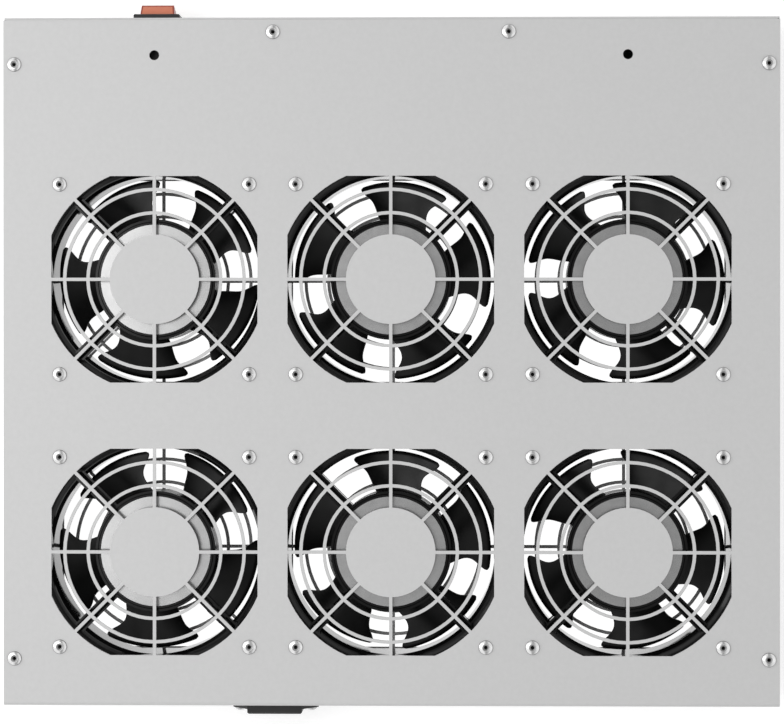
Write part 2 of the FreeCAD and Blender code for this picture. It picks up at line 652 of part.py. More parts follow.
def stator():
    """Laminated core on the bearing tube, with a coil ring above and below it."""
    tube = BEARING_TUBE_RADIUS
    half_slot = SLOT_WIDTH / 2
    half_mouth = SLOT_MOUTH / 2
    low = CORE_BOTTOM - 1
    high = CORE_TOP + 1
    core = ring(LAMINATION_RADIUS, tube + SEAT_FIT, CORE_BOTTOM, CORE_TOP)
    slot = box(tube + SLOT_INNER, tube + SLOT_OUTER, -half_slot, half_slot, low, high)
    mouth = box(tube + SLOT_OUTER - 1, LAMINATION_RADIUS + 1, -half_mouth, half_mouth, low, high)
    slot = slot.fuse(mouth)
    core = core.cut([turned(slot, 360 / SLOTS * step) for step in range(SLOTS)])
    coil = ring(LAMINATION_RADIUS - COIL_INSET, tube + COIL_BORE, 0, COIL_HEIGHT)
    rims = [edge for edge in coil.Edges if len(edge.Vertexes) == 1]
    upper = coil.makeFillet(COIL_ROUND, [edge for edge in rims if edge.CenterOfMass.z > 0.1])
    lower = coil.makeFillet(COIL_ROUND, [edge for edge in rims if edge.CenterOfMass.z < 0.1])
    return Part.makeCompound([
        core,
        moved(upper, V(0, 0, CORE_TOP)),
        moved(lower, V(0, 0, CORE_BOTTOM - COIL_HEIGHT)),
    ])


def bearings():
    places = (TUBE_BOTTOM, PLATE_TOP - BEARING_LENGTH)
    rings = [ring(BEARING_RADIUS, SHAFT_RADIUS + RUNNING_FIT, z, z + BEARING_LENGTH) for z in places]
    return Part.makeCompound(rings)


def shaft():
    return disc(SHAFT_RADIUS, CAN_BOTTOM + CAN_WALL, PLATE_TOP - SEAM)


def blade_edge(points, scale):
    """Curve of one blade edge seen along the axis, from the can's wall out to the tip."""
    reach = (BLADE_TIP - CAN_RADIUS) / (points[-1][0] - points[0][0])
    inner_radius = CAN_RADIUS - CAN_WALL / 2
    edge = [polar(inner_radius, scale(points[0][1]))]
    for radius, half_gap in points:
        edge.append(polar(CAN_RADIUS + (radius - points[0][0]) * reach, scale(half_gap)))
    curve = Part.BSplineCurve()
    curve.interpolate(edge)
    return curve.toShape(), edge[0], edge[-1]


def blade():
    """One impeller blade: a cambered helical sheet trimmed to its outline seen along the axis."""
    pitch = 360 / BLADES
    root = CAN_RADIUS - CAN_WALL / 2
    trailing, trailing_root, trailing_tip = blade_edge(TRAILING_EDGE, lambda half: half)
    leading, leading_root, leading_tip = blade_edge(LEADING_EDGE, lambda half: pitch - half)
    outline = Part.Wire([
        trailing,
        Part.Arc(trailing_tip, polar(BLADE_TIP, pitch / 2), leading_tip).toShape(),
        leading,
        Part.Arc(trailing_root, polar(root, pitch / 2), leading_root).toShape(),
    ])
    prism = Part.Face(outline).extrude(V(0, 0, FAN_THICKNESS))
    tip_edges = edges_along(prism, V(0, 0, 1), lambda p: math.hypot(p.x, p.y) > BLADE_TIP - 0.1)
    prism = prism.makeFillet(BLADE_TIP_CORNER, tip_edges)
    fall = BLADE_HIGHEST - BLADE_LOWEST
    half_span = pitch / 2 - min(half for radius, half in TRAILING_EDGE + LEADING_EDGE)
    rows = []
    for step in range(4):
        radius = root - 2 + (BLADE_TIP + 4 - root) * step / 3
        row = []
        for place in range(7):
            along = -1.25 + 2.5 * place / 6
            angle = pitch / 2 + along * half_span
            z = BLADE_HIGHEST - fall * (along + 1) / 2 + BLADE_CAMBER * (1 - along * along)
            row.append(polar(radius, angle, z))
        rows.append(row)
    surface = Part.BSplineSurface()
    surface.interpolate(rows)
    return prism.common(surface.toShape().extrude(V(0, 0, BLADE_THICKNESS)))


def impeller():
    """Rotor can with its conductor ring, and the blades that stand out of it."""
    inner = CAN_RADIUS - CAN_WALL
    seat = CAN_BOTTOM + CAN_WALL
    can = revolved([
        (SHAFT_RADIUS, seat), (NOSE_DIP_RADIUS, seat), (NOSE_DIP_RADIUS, seat - NOSE_DIP),
        (NOSE_RADIUS, CAN_BOTTOM), (CAN_RADIUS - CAN_ROUND, CAN_BOTTOM),
        (CAN_RADIUS, CAN_BOTTOM + CAN_ROUND), (CAN_RADIUS, CAN_TOP), (inner, CAN_TOP),
        (inner, CORE_TOP + CONDUCTOR_OVERHANG), (CONDUCTOR_RADIUS, CORE_TOP + CONDUCTOR_OVERHANG),
        (CONDUCTOR_RADIUS, CORE_BOTTOM - CONDUCTOR_OVERHANG),
        (inner, CORE_BOTTOM - CONDUCTOR_OVERHANG), (inner, CAN_INSIDE), (SHAFT_RADIUS, CAN_INSIDE),
    ])
    first = blade()
    return can.fuse([turned(first, 360 / BLADES * step) for step in range(BLADES)]).removeSplitter()


def fan_lead(number):
    """Sleeved lead of one fan, from its coils through strut and wiring gap to the terminal block."""
    at = FANS[number]
    turn = FRAME_TURN[number]
    order = LEAD_ORDER.index(number)
    level = LOWEST_LEAD + LEAD_STEP * order
    drop = -HALF_FAN - LEAD_OUT
    local = [
        polar(LEAD_START, 225, CORE_TOP + COIL_HEIGHT),
        polar(LEAD_START, 225, LEAD_LEVEL),
        V(-LEAD_TURN, -LEAD_TURN, LEAD_LEVEL),
        V(-LEAD_TURN, drop, LEAD_LEVEL),
        V(-LEAD_TURN, drop, level - FAN_Z),
    ]
    rotation = FreeCAD.Rotation(V(0, 0, 1), turn)
    points = [at + rotation.multVec(point) for point in local]
    last = points[-1]
    gap_x = last.x
    if turn == 0:
        gap_x = WIRING_GAP_X
        points.append(V(gap_x, last.y, level))
    points.append(V(gap_x, SPREAD_Y, level))
    points.append(V(block_way(order), BLOCK_REAR - STRAIGHT_ENTRY, BLOCK_ENTRY_Z))
    points.append(V(block_way(order), BLOCK_REAR, BLOCK_ENTRY_Z))
    return wire_with_bends(points, LEAD_RADIUS)


def wire_with_bends(points, radius):
    """Wire whose bends are LEAD_BEND, or tighter where a run is short."""
    shortest = min((after - before).Length for before, after in zip(points, points[1:]))
    return wire_solid(points, radius, min(LEAD_BEND, LEAD_BEND_LIMIT * shortest))


# ---- switch ------------------------------------------------------------------------------------
def switch_housing():
    """Bezel and body of the rocker switch, open at the face, with a socket for each pivot."""
    half_w = BEZEL_WIDTH / 2
    half_h = BEZEL_HEIGHT / 2
    bezel = box(
        SWITCH_X - half_w, SWITCH_X + half_w, FRONT_Y, BEZEL_FACE, MID_Z - half_h, MID_Z + half_h
    )
    rim = [edge for edge in bezel.Edges if abs(edge.CenterOfMass.y - BEZEL_FACE) < 0.01]
    bezel = bezel.makeFillet(BEZEL_ROUND, rim)
    body = box(
        SWITCH_X - SWITCH_BODY_WIDTH / 2, SWITCH_X + SWITCH_BODY_WIDTH / 2, SWITCH_BACK, FRONT_Y,
        MID_Z - SWITCH_BODY_HEIGHT / 2, MID_Z + SWITCH_BODY_HEIGHT / 2,
    )
    well_x = ROCKER_WIDTH / 2 + ROCKER_GAP
    well_z = ROCKER_SWEEP + ROCKER_GAP
    well = box(
        SWITCH_X - well_x, SWITCH_X + well_x, PIVOT_Y - SWITCH_WELL, BEZEL_FACE + 1,
        MID_Z - well_z, MID_Z + well_z,
    )
    socket_x = ROCKER_WIDTH / 2 + PIVOT_LENGTH + ROCKER_GAP / 3
    sockets = Part.makeCylinder(
        PIVOT_RADIUS + RUNNING_FIT, 2 * socket_x, V(SWITCH_X - socket_x, PIVOT_Y, MID_Z), V(1, 0, 0)
    )
    latches = []
    latch_x = SWITCH_X - LATCH_WIDTH / 2
    latch_y = FRONT_Y - SHEET - SEAM
    for side in (-1, 1):
        edge = MID_Z + side * SWITCH_BODY_HEIGHT / 2
        latches.append(polygon_prism([
            V(latch_x, latch_y, edge), V(latch_x, latch_y, edge + side * LATCH_PROUD),
            V(latch_x, latch_y - LATCH_LENGTH, edge),
        ], V(LATCH_WIDTH, 0, 0)))
    return bezel.fuse([body] + latches).cut([well, sockets]).removeSplitter()


def switch_rocker():
    """Rocker at rest: its upper end stands out and its lower end is pressed in."""
    tilt = math.radians(ROCKER_TILT)
    # height of the ends above the pivot, so that the raised end stands ROCKER_RISE above the bezel
    wanted = ROCKER_RISE + PIVOT_DEPTH
    end = wanted * math.cos(tilt) - math.sqrt(ROCKER_SWEEP ** 2 - wanted ** 2) * math.sin(tilt)
    half = math.sqrt(ROCKER_SWEEP ** 2 - end ** 2)
    base = -ROCKER_SKIRT
    base_half = math.sqrt(ROCKER_SWEEP ** 2 - base ** 2)
    x0 = -ROCKER_WIDTH / 2

    def point(out, up):
        return V(x0, out, up)

    outline = Part.Wire([
        Part.LineSegment(point(base, -base_half), point(base, base_half)).toShape(),
        Part.Arc(point(base, base_half), point(0, ROCKER_SWEEP), point(end, half)).toShape(),
        Part.LineSegment(point(end, half), point(end - ROCKER_VALLEY, 0)).toShape(),
        Part.LineSegment(point(end - ROCKER_VALLEY, 0), point(end, -half)).toShape(),
        Part.Arc(point(end, -half), point(0, -ROCKER_SWEEP), point(base, -base_half)).toShape(),
    ])
    rocker = Part.Face(outline).extrude(V(ROCKER_WIDTH, 0, 0))
    for side in (-1, 1):
        edge = side * ROCKER_WIDTH / 2
        wedge = polygon_prism([
            V(edge, 0, -2 * ROCKER_SWEEP), V(edge, end + 2, -2 * ROCKER_SWEEP),
            V(edge - side * ROCKER_DRAFT, end + 2, -2 * ROCKER_SWEEP),
        ], V(0, 0, 4 * ROCKER_SWEEP))
        rocker = rocker.cut(wedge)
    hollow_x = ROCKER_WIDTH / 2 - ROCKER_WALL
    hollow_z = base_half - ROCKER_WALL
    crown = end - ROCKER_VALLEY - ROCKER_WALL
    hollow = box(-hollow_x, hollow_x, base - 1, crown, -hollow_z, hollow_z)
    axle_x = ROCKER_WIDTH / 2 + PIVOT_LENGTH
    axle = Part.makeCylinder(PIVOT_RADIUS, 2 * axle_x, V(-axle_x, 0, 0), V(1, 0, 0))
    rocker = rocker.cut(hollow).fuse(axle)
    rocker.rotate(V(0, 0, 0), V(1, 0, 0), -ROCKER_TILT)
    return moved(rocker, V(SWITCH_X, PIVOT_Y, MID_Z))


def switch_tabs():
    tabs = []
    for side_x in (-1, 1):
        for side_z in (-1, 1):
            x = SWITCH_X + side_x * SWITCH_TAB_X
            z = MID_Z + side_z * SWITCH_TAB_Z
            tabs.append(box(
                x - TAB_THICKNESS / 2, x + TAB_THICKNESS / 2, SWITCH_TAB_END, SWITCH_BACK,
                z - TAB_WIDTH / 2, z + TAB_WIDTH / 2,
            ))
    return Part.makeCompound(tabs)


# ---- mains inlet -------------------------------------------------------------------------------
def socket_outline(width, height, corner, y):
    """Rectangle in a plane of constant y with its two upper corners cut off."""
    half_w = width / 2
    half_h = height / 2
    return [
        V(INLET_X - half_w, y, MID_Z - half_h), V(INLET_X + half_w, y, MID_Z - half_h),
        V(INLET_X + half_w, y, MID_Z + half_h - corner), V(INLET_X + half_w - corner, y, MID_Z + half_h),
        V(INLET_X - half_w + corner, y, MID_Z + half_h), V(INLET_X - half_w, y, MID_Z + half_h - corner),
    ]


def inlet_housing():
    """Flange with tapered ears, raised rim, and the body behind it with the plug's hollow."""
    half_pitch = INLET_SCREW_SPACING / 2
    half_h = INLET_FLANGE_HEIGHT / 2
    plate = box(
        INLET_X - INLET_RIM_WIDTH / 2, INLET_X + INLET_RIM_WIDTH / 2,
        REAR_Y - INLET_FLANGE_THICKNESS, REAR_Y, MID_Z - half_h, MID_Z + half_h,
    )
    ears = []
    for side in (-1, 1):
        centre = V(INLET_X + side * (INLET_FLANGE_WIDTH / 2 - INLET_EAR_RADIUS), REAR_Y, MID_Z)
        centre_y = REAR_Y - INLET_FLANGE_THICKNESS
        ears.append(Part.makeCylinder(
            INLET_EAR_RADIUS, INLET_FLANGE_THICKNESS, V(centre.x, centre_y, MID_Z), V(0, 1, 0)
        ))
        edge = INLET_X + side * INLET_RIM_WIDTH / 2
        lean = math.asin((half_h - INLET_EAR_RADIUS) / math.hypot(abs(centre.x - edge), half_h))
        touch_x = centre.x + side * INLET_EAR_RADIUS * math.sin(lean)
        touch_z = INLET_EAR_RADIUS * math.cos(lean)
        ears.append(polygon_prism([
            V(edge, centre_y, MID_Z - half_h), V(edge, centre_y, MID_Z + half_h),
            V(touch_x, centre_y, MID_Z + touch_z), V(touch_x, centre_y, MID_Z - touch_z),
        ], V(0, INLET_FLANGE_THICKNESS, 0)))
    rim = box(
        INLET_X - INLET_RIM_WIDTH / 2, INLET_X + INLET_RIM_WIDTH / 2, INLET_FACE, REAR_Y,
        MID_Z - INLET_RIM_HEIGHT / 2, MID_Z + INLET_RIM_HEIGHT / 2,
    )
    face_edges = [edge for edge in rim.Edges if abs(edge.CenterOfMass.y - INLET_FACE) < 0.01]
    rim = rim.makeChamfer(INLET_RIM_CHAMFER, face_edges)
    body = box(
        INLET_X - INLET_BODY_WIDTH / 2, INLET_X + INLET_BODY_WIDTH / 2, REAR_Y, INLET_BACK,
        MID_Z - INLET_BODY_HEIGHT / 2, MID_Z + INLET_BODY_HEIGHT / 2,
    )
    hollow = polygon_prism(
        socket_outline(SOCKET_WIDTH, SOCKET_HEIGHT, SOCKET_CORNER, INLET_FACE - 1),
        V(0, SOCKET_DEPTH + 1, 0),
    )
    cutters = [hollow]
    for side in (-1, 1):
        at = V(INLET_X + side * half_pitch, REAR_Y - INLET_FLANGE_THICKNESS - 1, MID_Z)
        cutters.append(Part.makeCylinder(
            SCREW_RADIUS + SCREW_PLAY, INLET_FLANGE_THICKNESS + 2, at, V(0, 1, 0)
        ))
    for x, z in inlet_pin_places():
        cutters.append(box(
            x - PIN_WIDTH / 2, x + PIN_WIDTH / 2, INLET_BACK - SOCKET_BACK - 1, INLET_BACK + 1,
            z - PIN_HEIGHT / 2, z + PIN_HEIGHT / 2,
        ))
    return plate.fuse(ears + [rim, body]).cut(cutters).removeSplitter()


def inlet_pin_places():
    return (
        (INLET_X - LINE_PIN_X, MID_Z + LINE_PIN_Z),
        (INLET_X + LINE_PIN_X, MID_Z + LINE_PIN_Z),
        (INLET_X, MID_Z + EARTH_PIN_Z),
    )


def inlet_pins():
    """Line, neutral and earth blades with the solder tabs behind them."""
    pins = []
    front = INLET_BACK - SOCKET_BACK - PIN_LENGTH
    for x, z in inlet_pin_places():
        pin = box(
            x - PIN_WIDTH / 2, x + PIN_WIDTH / 2, front, INLET_BACK, z - PIN_HEIGHT / 2, z + PIN_HEIGHT / 2
        )
        tip = [edge for edge in pin.Edges if abs(edge.CenterOfMass.y - front) < 0.01]
        pin = pin.makeChamfer(PIN_TIP_CHAMFER, tip)
        tab = box(
            x - TAB_WIDTH / 2, x + TAB_WIDTH / 2, INLET_BACK, INLET_BACK + INLET_TAB_LENGTH,
            z - TAB_THICKNESS / 2, z + TAB_THICKNESS / 2,
        )
        pins.append(pin.fuse(tab))
    return Part.makeCompound(pins)


def inlet_screws():
    """Two pan-head screws through the inlet's ears, with nuts behind the rear wall."""
    head = INLET_SCREW_HEAD
    grip = INLET_FLANGE_THICKNESS + SHEET
    reach = grip + INLET_NUT_HEIGHT + INLET_SCREW_END
    screw = revolved([
        (0, -head), (SCREW_HEAD_RADIUS * 0.7, -head), (SCREW_HEAD_RADIUS, -head * 0.45),
        (SCREW_HEAD_RADIUS, 0), (SCREW_RADIUS, 0), (SCREW_RADIUS, reach), (0, reach),
    ])
    nut = hexagon(INLET_NUT_ACROSS_FLATS, SCREW_RADIUS + SEAT_FIT, INLET_NUT_HEIGHT)
    pieces = []
    for side in (-1, 1):
        for piece in (screw, moved(nut, V(0, 0, grip))):
            copy = piece.copy()
            copy.rotate(V(0, 0, 0), V(1, 0, 0), -90)
            copy.translate(V(
                INLET_X + side * INLET_SCREW_SPACING / 2, REAR_Y - INLET_FLANGE_THICKNESS, MID_Z
            ))
            pieces.append(copy)
    return Part.makeCompound(pieces)


# ---- wiring ------------------------------------------------------------------------------------
def block_way(way):
    return WIRING_GAP_X + (way - (BLOCK_WAYS - 1) / 2) * BLOCK_PITCH


def block_screw_places():
    reach = BLOCK_HALF_X - BLOCK_END / 2
    return WIRING_GAP_X - reach, WIRING_GAP_X + reach


def terminal_block():
    """Six-way terminal strip on the pan's floor, with screw wells, grooves and a low ear each end."""
    before = BLOCK_REAR - 1
    behind = BLOCK_FRONT + 1
    left = WIRING_GAP_X - BLOCK_HALF_X
    right = WIRING_GAP_X + BLOCK_HALF_X
    ear_top = SHEET + BLOCK_EAR_HEIGHT
    cutters = [
        box(left - 1, left + BLOCK_END, before, behind, ear_top, BLOCK_TOP + 1),
        box(right - BLOCK_END, right + 1, before, behind, ear_top, BLOCK_TOP + 1),
    ]
    half_slot = BLOCK_SLOT / 2
    slot_floor = BLOCK_TOP - BLOCK_SLOT_DEPTH
    for way in range(1, BLOCK_WAYS):
        x = (block_way(way - 1) + block_way(way)) / 2
        cutters.append(box(x - half_slot, x + half_slot, before, behind, slot_floor, BLOCK_TOP + 1))
    for way in range(BLOCK_WAYS):
        for y in (BLOCK_Y - CLAMP_SHIFT, BLOCK_Y + CLAMP_SHIFT):
            cutters.append(
                disc(CLAMP_RADIUS, BLOCK_TOP - CLAMP_WELL, BLOCK_TOP + 1, block_way(way), y)
            )
    for x in block_screw_places():
        cutters.append(disc(SCREW_RADIUS + SCREW_PLAY, SHEET - 1, BLOCK_TOP + 1, x, BLOCK_Y))
    return box(left, right, BLOCK_REAR, BLOCK_FRONT, SHEET, BLOCK_TOP).cut(cutters)


def block_screws():
    """Clamping screws in their wells, and the two that hold the block to the floor."""
    well = BLOCK_TOP - CLAMP_WELL
    radius = CLAMP_RADIUS - SEAT_FIT
    screws = []
    for way in range(BLOCK_WAYS):
        for y in (BLOCK_Y - CLAMP_SHIFT, BLOCK_Y + CLAMP_SHIFT):
            screws.append(disc(radius, well, well + CLAMP_HEIGHT, block_way(way), y))
    seat = SHEET + BLOCK_EAR_HEIGHT
    rim = BLOCK_SCREW_HEAD_RADIUS
    screw = revolved([
        (0, SHEET), (SCREW_RADIUS, SHEET), (SCREW_RADIUS, seat), (rim, seat),
        (rim, seat + BLOCK_SCREW_HEAD * 0.6), (rim * 0.7, seat + BLOCK_SCREW_HEAD),
        (0, seat + BLOCK_SCREW_HEAD),
    ])
    screws += [moved(screw, V(x, BLOCK_Y, 0)) for x in block_screw_places()]
    return Part.makeCompound(screws)


def inlet_to_switch_wires():
    """Live and neutral, from the inlet's tabs through the wiring gap to the switch's upper tabs."""
    start_y = INLET_BACK + INLET_TAB_LENGTH - LIVE_TAB_HOLD
    tab_z = MID_Z + LINE_PIN_Z + TAB_THICKNESS / 2
    mains_z = BASE_TOP - MAINS_SINK
    switch_z = MID_Z + SWITCH_TAB_Z
    wires = []
    for side, turn in zip((-1, 1), SUPPLY_TURNS):
        gap_x = WIRING_GAP_X + side * MAINS_X
        switch_x = SWITCH_X + side * SWITCH_TAB_X
        turn_y = BLOCK_Y + turn
        wires.append(wire_with_bends([
            V(INLET_X + side * LINE_PIN_X, start_y, tab_z),
            V(INLET_X + side * LINE_PIN_X, start_y, mains_z),
            V(gap_x, start_y, mains_z),
            V(gap_x, SPREAD_Y, mains_z),
            V(gap_x, turn_y - BLOCK_DEPTH / 2, switch_z),
            V(gap_x, turn_y, switch_z),
            V(switch_x, turn_y, switch_z),
            V(switch_x, SWITCH_TAB_END, switch_z),
        ], WIRE_RADIUS))
    return Part.makeCompound(wires)


def switch_to_block_wires():
    """Switched live and neutral, from the lower tabs to the terminal block."""
    switch_z = MID_Z - SWITCH_TAB_Z
    wires = []
    for side, turn, way in zip((-1, 1), SWITCHED_TURNS, SWITCHED_WAYS):
        switch_x = SWITCH_X + side * SWITCH_TAB_X
        turn_y = BLOCK_Y + turn
        wires.append(wire_with_bends([
            V(switch_x, SWITCH_TAB_END, switch_z),
            V(switch_x, turn_y, switch_z),
            V(block_way(way), turn_y, switch_z),
            V(block_way(way), BLOCK_FRONT, switch_z),
        ], WIRE_RADIUS))
    return Part.makeCompound(wires)


def earth_wire():
    level = MID_Z + EARTH_RISE
    return wire_with_bends([
        V(INLET_X, EARTH_WIRE_Y, MID_Z + EARTH_PIN_Z + TAB_THICKNESS / 2),
        V(INLET_X, EARTH_WIRE_Y, level),
        V(STUD_X, EARTH_WIRE_Y, level),
        V(STUD_X, EARTH_WIRE_Y, SHEET + LUG_THICKNESS),
    ], WIRE_RADIUS)


def earth_stud():
    """Welded stud, ring lug and nut, as separate solids."""
    stud = disc(STUD_RADIUS, SHEET, SHEET + STUD_HEIGHT, STUD_X, STUD_Y)
    lug = disc(LUG_WIDTH / 2, SHEET, SHEET + LUG_THICKNESS, STUD_X, STUD_Y)
    tail = box(
        STUD_X - LUG_WIDTH / 4, STUD_X + LUG_WIDTH / 4, STUD_Y, STUD_Y + LUG_REACH,
        SHEET, SHEET + LUG_THICKNESS,
    )
    bore = disc(STUD_RADIUS + SEAT_FIT, 0, TRAY_HEIGHT, STUD_X, STUD_Y)
    nut = moved(
        hexagon(NUT_ACROSS_FLATS, STUD_RADIUS + SEAT_FIT, NUT_HEIGHT),
        V(STUD_X, STUD_Y, SHEET + LUG_THICKNESS),
    )
    return Part.makeCompound([stud, lug.fuse(tail).cut(bore), nut])


# ---- all nodes ---------------------------------------------------------------------------------
def fan_nodes(number, pieces):
    """Placed copies of one fan's pieces."""
    at = FANS[number]
    turns = {"impeller": REST_ANGLE[number], "frame": FRAME_TURN[number]}
    nodes = {}
    for piece, shape in pieces.items():
        nodes[f"fan_{number}_{piece}"] = moved(turned(shape, turns.get(piece, 0)), at)
    nodes[f"fan_{number}_lead"] = fan_lead(number)
    return nodes


def all_nodes():
    nodes = {
        "top_cover": top_cover(),
        "base_pan": base_pan(),
        "fan_rivets": group_at(blind_rivet(SHEET + FAN_FLANGE), fan_fixings(), TRAY_HEIGHT),
        "cover_rivets": group_at(blind_rivet(2 * SHEET), cover_fixings(), TRAY_HEIGHT),
        "rear_screws": Part.makeCompound(
            [moved(rear_screw(), V(x, REAR_Y, REAR_SCREW_Z)) for x in REAR_SCREW_X]
        ),
        "switch_housing": switch_housing(),
        "switch_rocker": switch_rocker(),
        "switch_tabs": switch_tabs(),
        "inlet_housing": inlet_housing(),
        "inlet_pins": inlet_pins(),
        "inlet_screws": inlet_screws(),
        "terminal_block": terminal_block(),
        "terminal_screws": block_screws(),
        "inlet_to_switch_wires": inlet_to_switch_wires(),
        "switch_to_block_wires": switch_to_block_wires(),
        "earth_wire": earth_wire(),
        "earth_stud": earth_stud(),
    }
    pieces = {
        "frame": fan_frame(),
        "hub_label": hub_label(),
        "stator": stator(),
        "bearings": bearings(),
        "shaft": shaft(),
        "impeller": impeller(),
    }
    for number in FANS:
        nodes.update(fan_nodes(number, pieces))
    return nodes


os.makedirs("parts", exist_ok=True)
for name, shape in all_nodes().items():
    if not shape.isValid() or not shape.Solids or min(solid.Volume for solid in shape.Solids) <= 0:
        raise RuntimeError(f"{name} isn't a set of sound solids")
    shape.exportStep(f"parts/{name}.step")
    print(f"{name}: {len(shape.Solids)} solids, {shape.Volume:.1f} mm3")
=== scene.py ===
# %% [markdown]
# # A rack fan tray
# This tray is one rack unit high. A folded cover carries six mains fans behind ring grilles, a folded
# pan closes it from below, a rocker switch sits in the front wall and a mains inlet in the rear wall.
# The exact model of every piece is loaded as a fixed frame. This lesson lights it, gives each piece
# its finish, and makes the repeated and curved pieces again with more detail: the blind rivets, the
# screws and the impellers.

# %% Load the frame
import bmesh
import bpy
import json
import math
from mathutils import Matrix, Vector


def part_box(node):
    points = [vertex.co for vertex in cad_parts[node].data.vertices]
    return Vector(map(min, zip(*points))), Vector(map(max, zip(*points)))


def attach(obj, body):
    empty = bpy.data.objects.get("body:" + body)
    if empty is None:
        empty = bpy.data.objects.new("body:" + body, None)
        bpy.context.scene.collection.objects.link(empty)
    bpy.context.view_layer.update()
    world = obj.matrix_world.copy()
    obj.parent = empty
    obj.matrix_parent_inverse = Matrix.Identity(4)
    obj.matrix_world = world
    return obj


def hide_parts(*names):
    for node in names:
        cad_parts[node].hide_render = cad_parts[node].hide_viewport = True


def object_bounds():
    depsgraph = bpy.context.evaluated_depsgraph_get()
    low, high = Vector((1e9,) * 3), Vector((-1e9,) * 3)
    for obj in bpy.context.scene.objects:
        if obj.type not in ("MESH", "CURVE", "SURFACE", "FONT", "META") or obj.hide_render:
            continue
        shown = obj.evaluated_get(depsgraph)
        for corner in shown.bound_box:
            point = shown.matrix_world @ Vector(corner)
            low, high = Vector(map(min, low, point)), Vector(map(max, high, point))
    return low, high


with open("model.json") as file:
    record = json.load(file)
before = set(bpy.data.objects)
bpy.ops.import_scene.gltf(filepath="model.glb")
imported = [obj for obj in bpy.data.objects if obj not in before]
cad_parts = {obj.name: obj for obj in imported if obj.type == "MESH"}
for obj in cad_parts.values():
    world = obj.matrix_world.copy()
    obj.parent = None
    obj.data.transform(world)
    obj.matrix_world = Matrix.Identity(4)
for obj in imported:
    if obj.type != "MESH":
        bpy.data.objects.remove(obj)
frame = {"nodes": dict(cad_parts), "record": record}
cad_low, cad_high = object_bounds()
MM = 0.001
FANS = range(1, 7)
print("loaded", len(frame["nodes"]), "nodes, size in mm", [round(v / MM, 1) for v in cad_high - cad_low])

# %% [markdown]
# ## The camera
# The tray is seen from straight above, with the lens a little to the right of its middle, so one can
# look past the left edge of every hub. A long lens keeps the sheet's outline nearly square. Most of
# the sideways offset is a slight turn of the camera and the rest is lens shift, because a large
# shift would push the tray out of the picture in every other view.

# %% Camera
top_z = cad_high.z
CAMERA_X = 50 * MM
CAMERA_Y = 6 * MM
CAMERA_RISE = 1408 * MM
LENS = 117.55
SHIFT_X = -0.052
SHIFT_Y = 0.000
AIM = Vector((23.2 * MM, -0.2 * MM, top_z))

lens = bpy.data.cameras.new("camera")
camera = bpy.data.objects.new("camera", lens)
bpy.context.scene.collection.objects.link(camera)
camera.location = (CAMERA_X, CAMERA_Y, top_z + CAMERA_RISE)
look = AIM - camera.location
camera.rotation_euler = (math.atan2(look.y, -look.z), math.atan2(-look.x, -look.z), 0.0)
lens.sensor_width = 36.0
lens.lens = LENS
lens.shift_x = SHIFT_X
lens.shift_y = SHIFT_Y
lens.clip_start = 0.05
lens.clip_end = 50.0
bpy.context.scene.camera = camera
print("camera tilts", round(math.degrees(look.angle(Vector((0, 0, -1)))), 2), "degrees")

# %% [markdown]
# ## Studio light
# A studio shot of pale sheet metal needs soft light with a direction. Two softboxes stand left and
# right, the left one stronger, so the cover fades gently towards the right. The world is a white
# sweep on both sides and grey overhead, in front and behind. A domed rivet then shows one bright
# crescent on each side, flat foil overhead mirrors grey, and bevels on black plastic draw thin lines.

# %% Lights and world
scene = bpy.context.scene
scene.view_settings.view_transform = "Standard"


def softbox(name, place, target, width, height, power):
    """Rectangular area light aimed at a point."""
    data = bpy.data.lights.new(name, "AREA")
    data.shape = "RECTANGLE"
    data.size = width
    data.size_y = height
    data.energy = power
    light = bpy.data.objects.new(name, data)
    light.location = place
    aim = Vector(target) - Vector(place)
    light.rotation_euler = aim.to_track_quat("-Z", "Y").to_euler()
    scene.collection.objects.link(light)
    return light


softbox("key_left", (-0.75, 0.10, 0.75), (-0.05, 0.0, 0.0), 0.7, 1.2, 3.9)
softbox("fill_right", (1.10, -0.30, 1.00), (0.05, 0.0, 0.0), 0.7, 1.0, 0.35)

world = bpy.data.worlds.new("studio")
scene.world = world
world.use_nodes = True
sky = world.node_tree.nodes
sky_links = world.node_tree.links
background = sky["Background"]
SKY = ((0.0, 1.0), (0.42, 1.0), (0.442, 0.66), (0.466, 0.37), (0.5, 0.335), (0.56, 0.38), (0.64, 0.5),
       (0.70, 0.85), (1.0, 0.9))
NEAR_HORIZON = 0.55
direction = sky.new("ShaderNodeTexCoord")
split = sky.new("ShaderNodeSeparateXYZ")
ramp = sky.new("ShaderNodeValToRGB")
points = ramp.color_ramp.elements
for position, level in SKY:
    ends = {0.0: points[0], 1.0: points[-1]}
    point = ends[position] if position in ends else points.new(position)
    point.color = (level, level, level, 1.0)
sideways = sky.new("ShaderNodeMath")
sideways.operation = "MULTIPLY_ADD"
sideways.inputs[1].default_value = 0.5
sideways.inputs[2].default_value = 0.5
low_sky = sky.new("ShaderNodeMapRange")
low_sky.inputs["From Min"].default_value = 0.35
low_sky.inputs["From Max"].default_value = 0.0
low_sky.inputs["To Max"].default_value = NEAR_HORIZON
blend = sky.new("ShaderNodeMix")
blend.data_type = "RGBA"
blend.inputs[7].default_value = (1.0, 1.0, 1.0, 1.0)
sky_links.new(direction.outputs["Generated"], split.inputs[0])
sky_links.new(split.outputs["X"], sideways.inputs[0])
sky_links.new(sideways.outputs[0], ramp.inputs["Fac"])
sky_links.new(split.outputs["Z"], low_sky.inputs["Value"])
sky_links.new(low_sky.outputs["Result"], blend.inputs[0])
sky_links.new(ramp.outputs["Color"], blend.inputs[6])
sky_links.new(blend.outputs[2], background.inputs["Color"])
background.inputs["Strength"].default_value = 1.0

